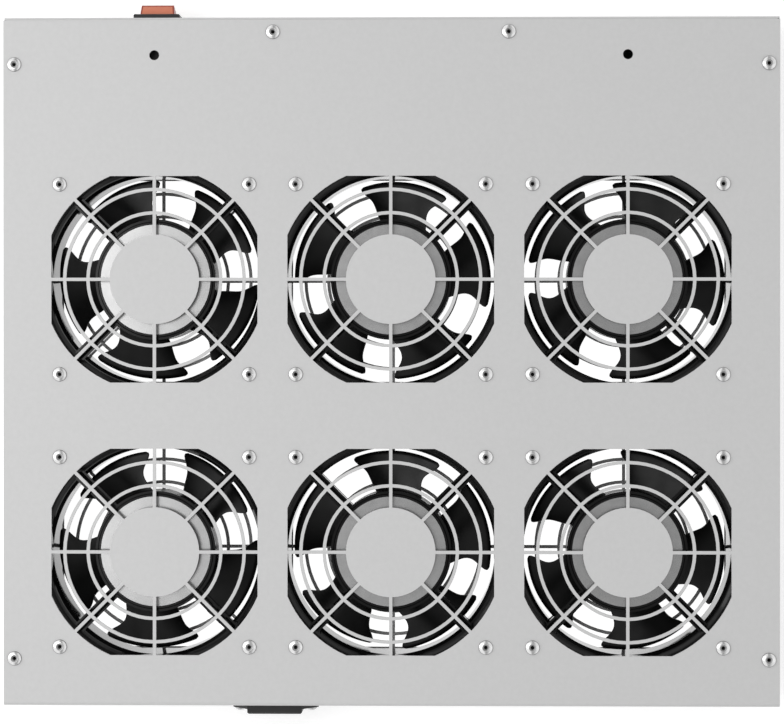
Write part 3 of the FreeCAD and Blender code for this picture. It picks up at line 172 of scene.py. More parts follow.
# %% [markdown]
# ## The table
# The tray stands on a plain white table. Its surface is diffuse, so the tray keeps its shadow, with
# some light of its own that only the camera and mirror rays see, so the page round the tray is white.
# Under the tray no light arrives, yet daylight shows through the fans, so the share of own light
# rises to full in a patch smaller than the tray, which no other view can see round.

# %% Floor
FLOOR_SPAN = 30.0
floor_mesh = bpy.data.meshes.new("floor")
half_floor = FLOOR_SPAN / 2
floor_mesh.from_pydata(
    [(-half_floor, -half_floor, 0), (half_floor, -half_floor, 0),
     (half_floor, half_floor, 0), (-half_floor, half_floor, 0)],
    [], [(0, 1, 2, 3)],
)
floor = bpy.data.objects.new("floor", floor_mesh)
scene.collection.objects.link(floor)
floor_mesh.transform(Matrix.Translation((0, 0, -0.2 * MM)))


def shader(name):
    """New material with a node tree, and its main shader."""
    material = bpy.data.materials.new(name)
    material.use_nodes = True
    return material, material.node_tree.nodes["Principled BSDF"]


table_top, surface = shader("white_table")
nodes = table_top.node_tree.nodes
links = table_top.node_tree.links
surface.inputs["Base Color"].default_value = (0.82, 0.82, 0.82, 1.0)
surface.inputs["Roughness"].default_value = 0.9
surface.inputs["Specular IOR Level"].default_value = 0.1
OWN_LIGHT = 0.42
PATCH_X = 204 * MM
PATCH_Y = 172 * MM
FADE = 6 * MM

place = nodes.new("ShaderNodeTexCoord")
axes = nodes.new("ShaderNodeSeparateXYZ")
links.new(place.outputs["Object"], axes.inputs[0])


def formula(tree, operation, *values):
    """One step of arithmetic in a node tree; values are numbers or sockets."""
    node = tree.nodes.new("ShaderNodeMath")
    node.operation = operation
    for slot, value in zip(node.inputs, values):
        if isinstance(value, (int, float)):
            slot.default_value = value
        else:
            tree.links.new(value, slot)
    return node.outputs[0]


def inside(tree, coordinate, limit):
    """1 well inside a limit and 0 outside it, with a short fade."""
    span = tree.nodes.new("ShaderNodeMapRange")
    span.interpolation_type = "SMOOTHSTEP"
    tree.links.new(formula(tree, "ABSOLUTE", coordinate), span.inputs["Value"])
    span.inputs["From Min"].default_value = limit
    span.inputs["From Max"].default_value = limit - FADE
    return span.outputs["Result"]


tree = table_top.node_tree
patch = formula(
    tree, "MULTIPLY", inside(tree, axes.outputs["X"], PATCH_X), inside(tree, axes.outputs["Y"], PATCH_Y)
)
own = formula(tree, "MULTIPLY_ADD", patch, 1.0 - OWN_LIGHT, OWN_LIGHT)
ray = nodes.new("ShaderNodeLightPath")
seen = formula(tree, "MAXIMUM", ray.outputs["Is Camera Ray"], ray.outputs["Is Glossy Ray"])
seen = formula(tree, "MAXIMUM", seen, ray.outputs["Is Transmission Ray"])
glow = formula(tree, "MULTIPLY", own, seen)
surface.inputs["Emission Color"].default_value = (1.0, 1.0, 1.0, 1.0)
links.new(glow, surface.inputs["Emission Strength"])
floor_mesh.materials.append(table_top)
print("table: own light", OWN_LIGHT, "patch", PATCH_X / MM, "x", PATCH_Y / MM)

# %% [markdown]
# ## A recipe for finishes
# Every real surface is uneven: its colour wanders a little, its gloss varies and it has a fine relief.
# One recipe gives all three from noise on Object coordinates, whose unit is the metre, so a grain of
# a given size in millimetres has the same size on every piece. Each finish below is that recipe with
# its own numbers, and a few add something of their own, such as the turning marks of a rivet.

# %% The recipe


def grain(tree, size, detail=3.0, stretch=(1.0, 1.0, 1.0)):
    """Noise whose features are about this size, in millimetres."""
    spot = tree.nodes.new("ShaderNodeTexCoord")
    mapping = tree.nodes.new("ShaderNodeMapping")
    mapping.inputs["Scale"].default_value = stretch
    noise = tree.nodes.new("ShaderNodeTexNoise")
    noise.inputs["Scale"].default_value = 0.5 / (size * MM)
    noise.inputs["Detail"].default_value = detail
    tree.links.new(spot.outputs["Object"], mapping.inputs["Vector"])
    tree.links.new(mapping.outputs["Vector"], noise.inputs["Vector"])
    return noise.outputs["Fac"]


def between(tree, factor, low, high, start=0.3, end=0.7):
    """Number that runs from low to high as the factor runs from start to end."""
    span = tree.nodes.new("ShaderNodeMapRange")
    span.inputs["From Min"].default_value = start
    span.inputs["From Max"].default_value = end
    span.inputs["To Min"].default_value = low
    span.inputs["To Max"].default_value = high
    tree.links.new(factor, span.inputs["Value"])
    return span.outputs["Result"]


def tint(tree, factor, dark, light):
    """Colour between two greys or colours as the factor runs from 0.3 to 0.7."""
    ramp = tree.nodes.new("ShaderNodeValToRGB")
    ramp.color_ramp.elements[0].position = 0.3
    ramp.color_ramp.elements[1].position = 0.7
    ramp.color_ramp.elements[0].color = (*dark, 1.0)
    ramp.color_ramp.elements[1].color = (*light, 1.0)
    tree.links.new(factor, ramp.inputs["Fac"])
    return ramp.outputs["Color"]


def relief(tree, bsdf, height, strength, depth):
    """Bump of a given depth in millimetres, on top of any that is there."""
    bump = tree.nodes.new("ShaderNodeBump")
    bump.inputs["Strength"].default_value = strength
    bump.inputs["Distance"].default_value = depth * MM
    tree.links.new(height, bump.inputs["Height"])
    if bsdf.inputs["Normal"].links:
        tree.links.new(bsdf.inputs["Normal"].links[0].from_socket, bump.inputs["Normal"])
    tree.links.new(bump.outputs["Normal"], bsdf.inputs["Normal"])


def finish(name, dark, light, patches, gloss, texture, depth, metallic=0.0, specular=0.5, coat=0.0):
    """A finish: colour range and patch size, roughness range, grain size and depth of its relief."""
    material, bsdf = shader(name)
    tree = material.node_tree
    bsdf.inputs["Metallic"].default_value = metallic
    bsdf.inputs["Specular IOR Level"].default_value = specular
    bsdf.inputs["Coat Weight"].default_value = coat
    tree.links.new(tint(tree, grain(tree, patches), dark, light), bsdf.inputs["Base Color"])
    tree.links.new(between(tree, grain(tree, patches * 0.4), *gloss), bsdf.inputs["Roughness"])
    relief(tree, bsdf, grain(tree, texture), 1.0, depth)
    return material


def grey(level):
    """Linear colour of a display grey from 0 to 255."""
    value = level / 255
    linear = value / 12.92 if value < 0.04045 else ((value + 0.055) / 1.055) ** 2.4
    return (linear, linear, linear)


def colour(red, green, blue):
    return tuple(grey(level)[0] for level in (red, green, blue))


print("recipe ready")

# %% [markdown]
# ## The finishes
# Powder coat is baked plastic powder: pale grey, half matt, with a fine orange-peel relief. The fan
# frames are die-cast and painted gloss black, the impellers have a duller black paint, the labels in
# the hubs are bare foil, rivets are aluminium and screws are zinc-plated steel.

# %% Finishes
FINISHES = {
    "sheet_metal": finish("powder_coat", grey(198), grey(201), 1.2, (0.42, 0.5), 0.7, 0.02),
    "rivet": finish(
        "rivet_aluminium", grey(226), grey(236), 1.2, (0.22, 0.28), 0.5, 0.0008, metallic=1.0
    ),
    "plated_steel": finish(
        "zinc_plate", grey(176), grey(206), 1.5, (0.24, 0.4), 0.3, 0.005, metallic=1.0
    ),
    "switch_black": finish("switch_nylon", grey(24), grey(31), 5.0, (0.38, 0.5), 0.35, 0.02),
    "rocker_red": finish(
        "rocker_red", colour(202, 118, 92), colour(210, 128, 100), 6.0, (0.26, 0.34), 0.5, 0.008,
        specular=0.4,
    ),
    "brass": finish(
        "brass", colour(188, 152, 82), colour(214, 180, 108), 2.0, (0.2, 0.36), 0.4, 0.006, 1.0
    ),
    "inlet_black": finish("inlet_nylon", grey(22), grey(29), 5.0, (0.4, 0.52), 0.4, 0.02),
    "nickel": finish("nickel", grey(196), grey(216), 2.0, (0.14, 0.26), 0.4, 0.004, metallic=1.0),
    "block_cream": finish(
        "cream_nylon", colour(222, 214, 192), colour(232, 226, 206), 5.0, (0.4, 0.5), 0.5, 0.02
    ),
    "wire_brown": finish(
        "brown_sleeve", colour(84, 50, 32), colour(98, 60, 40), 4.0, (0.36, 0.46), 0.8, 0.01
    ),
    "wire_blue": finish(
        "blue_sleeve", colour(30, 66, 142), colour(40, 80, 160), 4.0, (0.36, 0.46), 0.8, 0.01
    ),
    "wire_green": finish(
        "green_sleeve", colour(44, 112, 48), colour(58, 130, 60), 4.0, (0.36, 0.46), 0.8, 0.01
    ),
    "fan_black": finish(
        "cast_frame_black", grey(9), grey(13), 4.0, (0.09, 0.14), 0.9, 0.002, specular=0.35
    ),
    "label_silver": finish(
        "hub_foil", grey(192), grey(199), 5.0, (0.22, 0.26), 1.5, 0.001, metallic=1.0
    ),
    "lamination": finish(
        "laminated_steel", grey(96), grey(120), 2.0, (0.36, 0.5), 0.4, 0.02, metallic=1.0
    ),
    "bearing_steel": finish(
        "bearing_steel", grey(186), grey(204), 2.0, (0.16, 0.24), 0.3, 0.003, metallic=1.0
    ),
    "impeller_black": finish(
        "impeller_paint", grey(11), grey(17), 8.0, (0.32, 0.42), 0.6, 0.006, specular=0.3
    ),
    "lead_black": finish("lead_sleeve", grey(26), grey(34), 3.0, (0.42, 0.55), 0.6, 0.012),
}
print("finishes:", ", ".join(sorted(m.name for m in FINISHES.values())))

# %% [markdown]
# ## Two finishes with painted shade
# A rivet's head is bright, but its dished middle is dull and painted a darker grey as shade. The bore
# round the broken steel stub is painted nearly black, partly the darker steel and mostly painted shade,
# and a grey ring painted along the rim is shade where the dome turns down. The pattern follows the
# distance from the rivet's own axis, which each rivet carries as an attribute. Along three sides of
# the rocker, where its moulded wall is seen end on and the clear red plastic looks deeper, a darker
# red is painted as shade.

# %% Rivet and rocker patterns with painted shade


def shade_by(tree, factor, value):
    """Blend the main shader's base colour towards a colour by a factor."""
    bsdf = tree.nodes["Principled BSDF"]
    blend = tree.nodes.new("ShaderNodeMix")
    blend.data_type = "RGBA"
    tree.links.new(factor, blend.inputs[0])
    tree.links.new(bsdf.inputs["Base Color"].links[0].from_socket, blend.inputs[6])
    blend.inputs[7].default_value = (*value, 1.0)
    tree.links.new(blend.outputs[2], bsdf.inputs["Base Color"])


def step_at(tree, value, limit, soft, below, above):
    """One number below a limit and another above it, with a soft change."""
    return between(tree, value, below, above, limit - soft, limit + soft)


STUB_RADIUS = 0.95 * MM
DISH_RADIUS = 1.95 * MM
RIM_RADIUS = 3.74 * MM
SOFT = 0.14 * MM
DULL = 0.62
tree = FINISHES["rivet"].node_tree
own = tree.nodes.new("ShaderNodeAttribute")
own.attribute_name = "own_place"
flat = tree.nodes.new("ShaderNodeVectorMath")
flat.operation = "MULTIPLY"
flat.inputs[1].default_value = (1.0, 1.0, 0.0)
distance = tree.nodes.new("ShaderNodeVectorMath")
distance.operation = "LENGTH"
tree.links.new(own.outputs["Vector"], flat.inputs[0])
tree.links.new(flat.outputs[0], distance.inputs[0])
from_axis = distance.outputs["Value"]
in_dish = step_at(tree, from_axis, DISH_RADIUS, SOFT, 1.0, 0.0)
# painted shade: a grey ring along the rim where the dome's edge turns down
shade_by(tree, step_at(tree, from_axis, RIM_RADIUS, SOFT, 0.0, 1.0), grey(128))
# painted shade: the rougher dish is painted a darker grey
shade_by(tree, in_dish, grey(178))
# the stub is darker steel, and it is painted nearly black as shade in the bore
shade_by(tree, step_at(tree, from_axis, STUB_RADIUS, SOFT, 1.0, 0.0), grey(38))
rough = tree.nodes["Principled BSDF"].inputs["Roughness"]
polish = rough.links[0].from_socket
dull = formula(tree, "MULTIPLY", in_dish, formula(tree, "SUBTRACT", DULL, polish))
tree.links.new(formula(tree, "ADD", polish, dull), rough)

EDGE_WIDTH = 0.75 * MM
EDGE_SOFT = 0.2 * MM
OUTER_HALF = 8.75 * MM
DRAFT = 0.127
rocker_low, rocker_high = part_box("switch_rocker")
tree = FINISHES["rocker_red"].node_tree
spot = tree.nodes.new("ShaderNodeTexCoord")
axes = tree.nodes.new("ShaderNodeSeparateXYZ")
tree.links.new(spot.outputs["Object"], axes.inputs[0])
middle = (rocker_low.x + rocker_high.x) / 2
sideways = formula(tree, "ABSOLUTE", formula(tree, "SUBTRACT", axes.outputs["X"], middle))
inwards = formula(tree, "SUBTRACT", rocker_high.y, axes.outputs["Y"])
# the rocker is wider towards the bezel, so its side edges lean
leaning = formula(tree, "SUBTRACT", sideways, formula(tree, "MULTIPLY", inwards, DRAFT))
at_sides = step_at(tree, leaning, OUTER_HALF - EDGE_WIDTH, EDGE_SOFT, 0.0, 1.0)
at_face = step_at(tree, inwards, EDGE_WIDTH, EDGE_SOFT, 1.0, 0.0)
# painted shade: a darker red on three sides, where the rocker's moulded wall is seen end on
shade_by(tree, formula(tree, "MAXIMUM", at_sides, at_face), colour(146, 62, 46))
print("rivet: bore, dish and rim at", [round(r / MM, 2) for r in (STUB_RADIUS, DISH_RADIUS, RIM_RADIUS)])

# %% [markdown]
# ## Pieces made with Geometry Nodes
# Rivets, screws and rotors are turned or repeated shapes, so each is made by a small node tree whose
# sizes are named inputs. A few helpers are enough: one adds a node and connects its inputs, one starts
# a tree and one ends it, and one runs a tree once and keeps its result as a plain mesh.

# %% Node helpers


def add(tree, kind, inputs=(), output=0, **options):
    """Add a node, set its options, connect its inputs and give one of its outputs."""
    node = tree.nodes.new(kind)
    for option, value in options.items():
        setattr(node, option, value)
    for place, value in inputs.items() if isinstance(inputs, dict) else enumerate(inputs):
        if isinstance(value, bpy.types.NodeSocket):
            tree.links.new(value, node.inputs[place])
        else:
            node.inputs[place].default_value = value
    return node.outputs[output]


def new_tree(name, **sizes):
    """Tree that takes a mesh of places, named numbers and a finish, and gives one shape."""
    tree = bpy.data.node_groups.new(name, "GeometryNodeTree")
    tree.interface.new_socket(name="Places", in_out="INPUT", socket_type="NodeSocketGeometry")
    for size, value in sizes.items():
        kind = "NodeSocketInt" if isinstance(value, int) else "NodeSocketFloat"
        tree.interface.new_socket(name=size, in_out="INPUT", socket_type=kind).default_value = value
    tree.interface.new_socket(name="Finish", in_out="INPUT", socket_type="NodeSocketMaterial")
    tree.interface.new_socket(name="Shape", in_out="OUTPUT", socket_type="NodeSocketGeometry")
    return tree, tree.nodes.new("NodeGroupInput").outputs


def end_tree(tree, sizes, shape):
    """Turn copies into real mesh, give them their finish and connect the output."""
    plain = add(tree, "GeometryNodeRealizeInstances", [shape])
    finished = add(tree, "GeometryNodeSetMaterial", {"Geometry": plain, "Material": sizes["Finish"]})
    tree.links.new(finished, tree.nodes.new("NodeGroupOutput").inputs["Shape"])


def run_tree(name, tree, places, **sizes):
    """Run a tree on points at the given places and keep the result as a plain mesh object."""
    start = bpy.data.meshes.new(name + "_places")
    start.from_pydata(places, [], [])
    piece = bpy.data.objects.new(name, start)
    scene.collection.objects.link(piece)
    modifier = piece.modifiers.new("shape", "NODES")
    modifier.node_group = tree
    for socket in tree.interface.items_tree:
        if socket.in_out == "INPUT" and socket.name in sizes:
            modifier[socket.identifier] = sizes[socket.name]
    made = piece.evaluated_get(bpy.context.evaluated_depsgraph_get())
    result = bpy.data.meshes.new_from_object(made)
    piece.modifiers.clear()
    piece.data = result
    result.name = name
    return piece


def volume(piece):
    """Volume of a piece in cubic millimetres, negative where its faces point inwards."""
    shape = bmesh.new()
    shape.from_mesh(piece.data)
    amount = shape.calc_volume(signed=True) / MM ** 3
    shape.free()
    return amount


# %% [markdown]
# ## A lathe made of nodes
# A grid becomes a turned piece when one of its directions runs along the profile and the other round
# the axis. Two curve nodes hold the profile: the distance from the axis and the height, at seventeen
# equal steps. Edges that meet at more than thirty degrees stay sharp and the rest are shaded smooth.

# %% The lathe
PROFILE_STEPS = 17
SHARP = math.radians(30)


def profile(tree, along, values):
    """Number that runs through equally spaced values, straight from each to the next."""
    low = min(values)
    span = max(values) - low
    node = tree.nodes.new("ShaderNodeFloatCurve")
    curve = node.mapping.curves[0]
    last = len(values) - 1
    curve.points[0].location = (0.0, (values[0] - low) / span)
    curve.points[1].location = (1.0, (values[last] - low) / span)
    for step in range(1, last):
        curve.points.new(step / last, (values[step] - low) / span)
    for point in curve.points:
        point.handle_type = "VECTOR"
    node.mapping.update()
    tree.links.new(along, node.inputs["Value"])
    return formula(tree, "MULTIPLY_ADD", node.outputs[0], span, low)


def shaded(tree, shape):
    """Smooth shading with sharp edges where faces meet at a steep angle."""
    smooth = add(tree, "GeometryNodeSetShadeSmooth", {"Geometry": shape})
    angle = add(tree, "GeometryNodeInputMeshEdgeAngle")
    steep = add(tree, "FunctionNodeCompare", [angle, SHARP], data_type="FLOAT", operation="GREATER_THAN")
    return add(
        tree, "GeometryNodeSetShadeSmooth", {"Geometry": smooth, "Selection": steep, "Shade Smooth": False},
        domain="EDGE",
    )


def sheet_of(tree, steps_along, steps_round):
    """Unit grid and its two coordinates, each from 0 to 1."""
    grid = add(tree, "GeometryNodeMeshGrid", [1.0, 1.0, steps_along, steps_round])
    place = add(tree, "ShaderNodeSeparateXYZ", [add(tree, "GeometryNodeInputPosition")])
    along = formula(tree, "ADD", place, 0.5)
    across = formula(tree, "ADD", place.node.outputs["Y"], 0.5)
    return grid, along, across


def bent(tree, grid, radius, angle, height):
    """Bend a grid round the axis and close its seams and poles."""
    x = formula(tree, "MULTIPLY", radius, formula(tree, "COSINE", angle))
    y = formula(tree, "MULTIPLY", radius, formula(tree, "SINE", angle))
    place = add(tree, "ShaderNodeCombineXYZ", [x, y, height])
    shape = add(tree, "GeometryNodeSetPosition", {"Geometry": grid, "Position": place})
    return add(tree, "GeometryNodeMergeByDistance", {"Geometry": shape, "Distance": 0.001 * MM})


def turned_piece(tree, outline, sides):
    """Turned shape from (radius, height) pairs in millimetres, from one end of the axis to the other."""
    grid, along, across = sheet_of(tree, PROFILE_STEPS, sides + 1)
    radius = formula(tree, "MULTIPLY", profile(tree, along, [point[0] for point in outline]), MM)
    height = formula(tree, "MULTIPLY", profile(tree, along, [point[1] for point in outline]), MM)
    angle = formula(tree, "MULTIPLY", across, 2 * math.pi)
    return shaded(tree, bent(tree, grid, radius, angle, height))


print("lathe ready,", PROFILE_STEPS, "points to a profile")

# %% [markdown]
# ## Blind rivets
# Twenty-four rivets hold the fans and six close the cover. A blind rivet is set from above: a steel
# mandrel pulls its far end into a bulb and snaps off in the bore, so the domed aluminium head has a
# dished middle round a rough steel stub, whose near-black colour is mostly painted shade in the bore.
# The lathe makes one rivet and it is placed on a point at each hole, turned by a random amount. The
# places are read from the frame.

# %% Rivets


def solids_of(node):
    """Lowest and highest corner of each separate solid of a frame node."""
    shape = bmesh.new()
    shape.from_mesh(frame["nodes"][node].data)
    bmesh.ops.remove_doubles(shape, verts=shape.verts, dist=0.001 * MM)
    waiting = set(shape.verts)
    boxes = []
    while waiting:
        group = [waiting.pop()]
        for corner in group:
            for edge in corner.link_edges:
                other = edge.other_vert(corner)
                if other in waiting:
                    waiting.remove(other)
                    group.append(other)
        low = Vector([min(corner.co[axis] for corner in group) for axis in range(3)])
        high = Vector([max(corner.co[axis] for corner in group) for axis in range(3)])
        boxes.append((low, high))
    shape.free()
    return sorted(boxes, key=lambda pair: tuple(pair[0]))


RIVET_HEAD = [
    (0.0, -1.6), (0.95, -1.5), (1.06, 0.30), (1.18, 0.66), (1.50, 0.80), (1.74, 1.18),
    (1.98, 1.28), (2.60, 1.18), (3.20, 0.92), (3.72, 0.55), (3.94, 0.34), (4.0, 0.0),
]
RIVET_SIDES = 32


def rivet_tree(name, grip):
    """Tree for a rivet whose shank goes through sheets of this total thickness, in millimetres."""
    tree, sizes = new_tree(name, Seed=3)
    shank = [(2.0, 0.0), (2.0, -grip), (2.85, -grip - 0.5), (2.5, -grip - 2.3), (0.0, -grip - 2.6)]
    body = turned_piece(tree, RIVET_HEAD + shank, RIVET_SIDES)
    body = add(tree, "GeometryNodeStoreNamedAttribute", {
        "Geometry": body, "Name": "own_place", "Value": add(tree, "GeometryNodeInputPosition"),
    }, data_type="FLOAT_VECTOR")
    turn = add(
        tree, "FunctionNodeRandomValue", {2: 0.0, 3: 2 * math.pi, 8: sizes["Seed"]}, 1, data_type="FLOAT"
    )
    placed = add(tree, "GeometryNodeInstanceOnPoints", {
        "Points": add(tree, "GeometryNodeMeshToPoints", [sizes["Places"]]), "Instance": body,
        "Rotation": add(tree, "ShaderNodeCombineXYZ", [0.0, 0.0, turn]),
    })
    end_tree(tree, sizes, placed)
    return tree


SHEET = 1.2
FAN_FLANGE = 5.0
COVER_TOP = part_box("top_cover")[1].z
for node, grip in (("fan_rivets", SHEET + FAN_FLANGE), ("cover_rivets", 2 * SHEET)):
    places = [((low.x + high.x) / 2, (low.y + high.y) / 2, COVER_TOP) for low, high in solids_of(node)]
    rivets = run_tree(
        node + "_set", rivet_tree(node + "_tree", grip), places, Seed=3, Finish=FINISHES["rivet"]
    )
    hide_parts(node)
    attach(rivets, "tray")
    print(node, len(places), "rivets,", round(volume(rivets)), "mm3")

# %% [markdown]
# ## Screws
# Four countersunk screws close the cover's rear wall and two pan-head screws with nuts hold the inlet.
# The lathe turns each screw, its thread as plain grooves, and a nut is the same lathe with only six
# sides. A boolean cuts the cross for the driver out of the head before the screw is copied. The
# lathe's axis points up, so every copy is tipped over to point out of the wall.

# %% Screws
CROSS_WIDTH = 0.6
COUNTERSUNK = [
    (0.0, 0.0), (1.0, 0.0), (2.0, -0.01), (2.72, -0.03), (2.82, -0.12), (1.5, -1.2), (1.26, -1.7),
    (1.5, -2.2), (1.26, -2.7), (1.5, -3.2), (1.26, -3.7), (1.5, -4.2), (1.26, -4.7), (1.5, -5.2),
    (1.26, -5.7), (1.1, -6.6), (0.0, -7.0),
]


def cross_head(tree, screw, height, span, depth):
    """Cut a cross of this span and depth into a head whose top is at this height."""
    cut = tree.nodes.new("GeometryNodeMeshBoolean")
    cut.operation = "DIFFERENCE"
    cut.solver = "EXACT"
    cut.inputs["Self Intersection"].default_value = True
    tree.links.new(screw, cut.inputs["Mesh 1"])
    for width, breadth in ((span, CROSS_WIDTH), (CROSS_WIDTH, span)):
        arm = add(tree, "GeometryNodeMeshCube", [(width * MM, breadth * MM, 2 * depth * MM)])
        raised = add(tree, "GeometryNodeTransform", {"Geometry": arm, "Translation": (0, 0, height * MM)})
        tree.links.new(raised, cut.inputs["Mesh 2"])
    return shaded(tree, cut.outputs["Mesh"])


def tipped_copies(tree, sizes, shape):
    """A copy of the shape at each place, spun at random and tipped to point out of the rear wall."""
    turn = add(
        tree, "FunctionNodeRandomValue", {2: 0.0, 3: 2 * math.pi, 8: sizes["Seed"]}, 1, data_type="FLOAT"
    )
    spun = add(tree, "FunctionNodeEulerToRotation", [add(tree, "ShaderNodeCombineXYZ", [0.0, 0.0, turn])])
    over = add(tree, "FunctionNodeEulerToRotation", [(math.pi / 2, 0.0, 0.0)])
    return add(tree, "GeometryNodeInstanceOnPoints", {
        "Points": add(tree, "GeometryNodeMeshToPoints", [sizes["Places"]]), "Instance": shape,
        "Rotation": add(tree, "FunctionNodeRotateRotation", {"Rotation": spun, "Rotate By": over}),
    })


flush_tree, sizes = new_tree("countersunk_tree", Seed=5)
screw = cross_head(flush_tree, turned_piece(flush_tree, COUNTERSUNK, 40), 0.0, 3.0, 0.9)
end_tree(flush_tree, sizes, tipped_copies(flush_tree, sizes, screw))

PAN_HEAD = 1.9
INLET_FLANGE = 3.2
GRIP = INLET_FLANGE + SHEET
NUT = 2.4
pan_tree, sizes = new_tree("pan_head_tree", Seed=8)
screw = turned_piece(pan_tree, [
    (0.0, PAN_HEAD), (0.9, PAN_HEAD - 0.03), (1.6, PAN_HEAD - 0.14), (2.2, PAN_HEAD - 0.4),
    (2.6, PAN_HEAD - 0.8), (2.8, PAN_HEAD - 1.2), (2.86, 0.2), (2.8, 0.0), (1.5, 0.0), (1.5, -GRIP),
    (1.26, -GRIP - 0.5), (1.5, -GRIP - 1.0), (1.26, -GRIP - 1.5), (1.5, -GRIP - 2.0),
    (1.5, -GRIP - NUT), (1.2, -GRIP - NUT - 0.8), (0.0, -GRIP - NUT - 1.0),
], 40)
screw = cross_head(pan_tree, screw, PAN_HEAD, 3.2, 1.1)
nut = turned_piece(pan_tree, [
    (1.55, -GRIP), (2.0, -GRIP), (2.6, -GRIP), (2.9, -GRIP - 0.05), (3.1, -GRIP - 0.15),
    (3.17, -GRIP - 0.3), (3.17, -GRIP - 0.8), (3.17, -GRIP - 1.2), (3.17, -GRIP - 1.6),
    (3.17, -GRIP - 2.0), (3.17, -GRIP - NUT + 0.3), (3.1, -GRIP - NUT + 0.15),
    (2.9, -GRIP - NUT + 0.05), (2.6, -GRIP - NUT), (2.0, -GRIP - NUT), (1.55, -GRIP - NUT), (1.55, -GRIP),
], 6)
pair = pan_tree.nodes.new("GeometryNodeJoinGeometry")
pan_tree.links.new(screw, pair.inputs[0])
pan_tree.links.new(nut, pair.inputs[0])
end_tree(pan_tree, sizes, tipped_copies(pan_tree, sizes, pair.outputs[0]))

rear_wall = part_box("top_cover")[0].y
inlet_face = rear_wall - INLET_FLANGE * MM
inlet_heads = [pair for pair in solids_of("inlet_screws") if pair[0].y < inlet_face]
for name, tree, node, slot, seat, boxes in (
    ("rear_screw_set", flush_tree, "rear_screws", "plated_steel", rear_wall, solids_of("rear_screws")),
    ("inlet_screw_set", pan_tree, "inlet_screws", "plated_steel", inlet_face, inlet_heads),
):
    places = [((low.x + high.x) / 2, seat, (low.z + high.z) / 2) for low, high in boxes]
    screws = run_tree(name, tree, places, Finish=FINISHES[slot])
    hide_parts(node)
    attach(screws, "tray")
    print(name, len(places), "screws, volume", round(volume(screws)), "mm3")

# %% [markdown]
# ## Impellers
# An impeller is a shallow can on the motor's shaft with five bent blades. Each blade is a thin sheet
# that rises round the axis like a stair, is a little hollow underneath and thins out towards its edges.
# Seen along the axis its two edges follow curves, so the gap between blades is widest in the middle.
# A closed blade is a grid whose short direction runs once over the top and back underneath. A tree
# makes the can on the lathe and one blade, and sets five blades round the axis.

# %% Impellers
BLADES = 5
CAN_RADIUS = 33.2
CAN_WALL = 2.5
CAN_BOTTOM = 3.0
CAN_TOP = 27.6
BLADE_TIP = 55.3
BLADE_LOWEST = 2.8
BLADE_HIGHEST = 25.8
BLADE_THICKNESS = 1.8
BLADE_CAMBER = 1.6
TIP_CORNER = 2.4
# half the gap between two blades in degrees, at equal steps from the can to the tip
TRAILING = [7.0, 8.6, 10.2, 11.7, 12.9, 14.0, 14.7, 15.0, 14.9, 14.4, 13.5, 12.4, 11.2, 10.2, 9.5, 9.0, 8.6]
LEADING = [17.5, 17.0, 16.4, 16.0, 15.6, 15.4, 15.2, 15.0, 14.7, 14.3, 13.6, 12.6, 11.5, 10.4, 9.6, 9.0, 8.4]
FULLNESS = [0.0, 1.0, 1.0, 1.0, 1.0, 1.0, 1.0, 1.0, 1.0, 1.0, 1.0, 1.0, 1.0, 1.0, 1.0, 0.95, 0.0]
CAN_INNER = CAN_RADIUS - CAN_WALL
CAN_ROUND = 1.5
LIP_BEVEL = 0.3
SHAFT_RADIUS = 2.0
BOSS_RADIUS = 6.0
BOSS_LEVEL = 5.5
CAN = [
    (SHAFT_RADIUS, BOSS_LEVEL), (SHAFT_RADIUS, BOSS_LEVEL + 1.5), (CAN_INNER - 0.7, BOSS_LEVEL + 1.6),
    (CAN_INNER, BOSS_LEVEL + 2.5), (CAN_INNER, CAN_TOP - LIP_BEVEL), (CAN_INNER + LIP_BEVEL, CAN_TOP),
    (CAN_RADIUS - LIP_BEVEL, CAN_TOP), (CAN_RADIUS, CAN_TOP - LIP_BEVEL),
    (CAN_RADIUS, CAN_BOTTOM + CAN_ROUND), (CAN_RADIUS - 0.44, CAN_BOTTOM + 0.44),
    (CAN_RADIUS - CAN_ROUND, CAN_BOTTOM), (BOSS_RADIUS + 3.0, CAN_BOTTOM),
    (BOSS_RADIUS + 2.6, CAN_BOTTOM + 0.1), (BOSS_RADIUS + 0.2, CAN_BOTTOM + 0.4),
    (BOSS_RADIUS, CAN_BOTTOM + 0.6), (BOSS_RADIUS, BOSS_LEVEL), (SHAFT_RADIUS, BOSS_LEVEL),
]


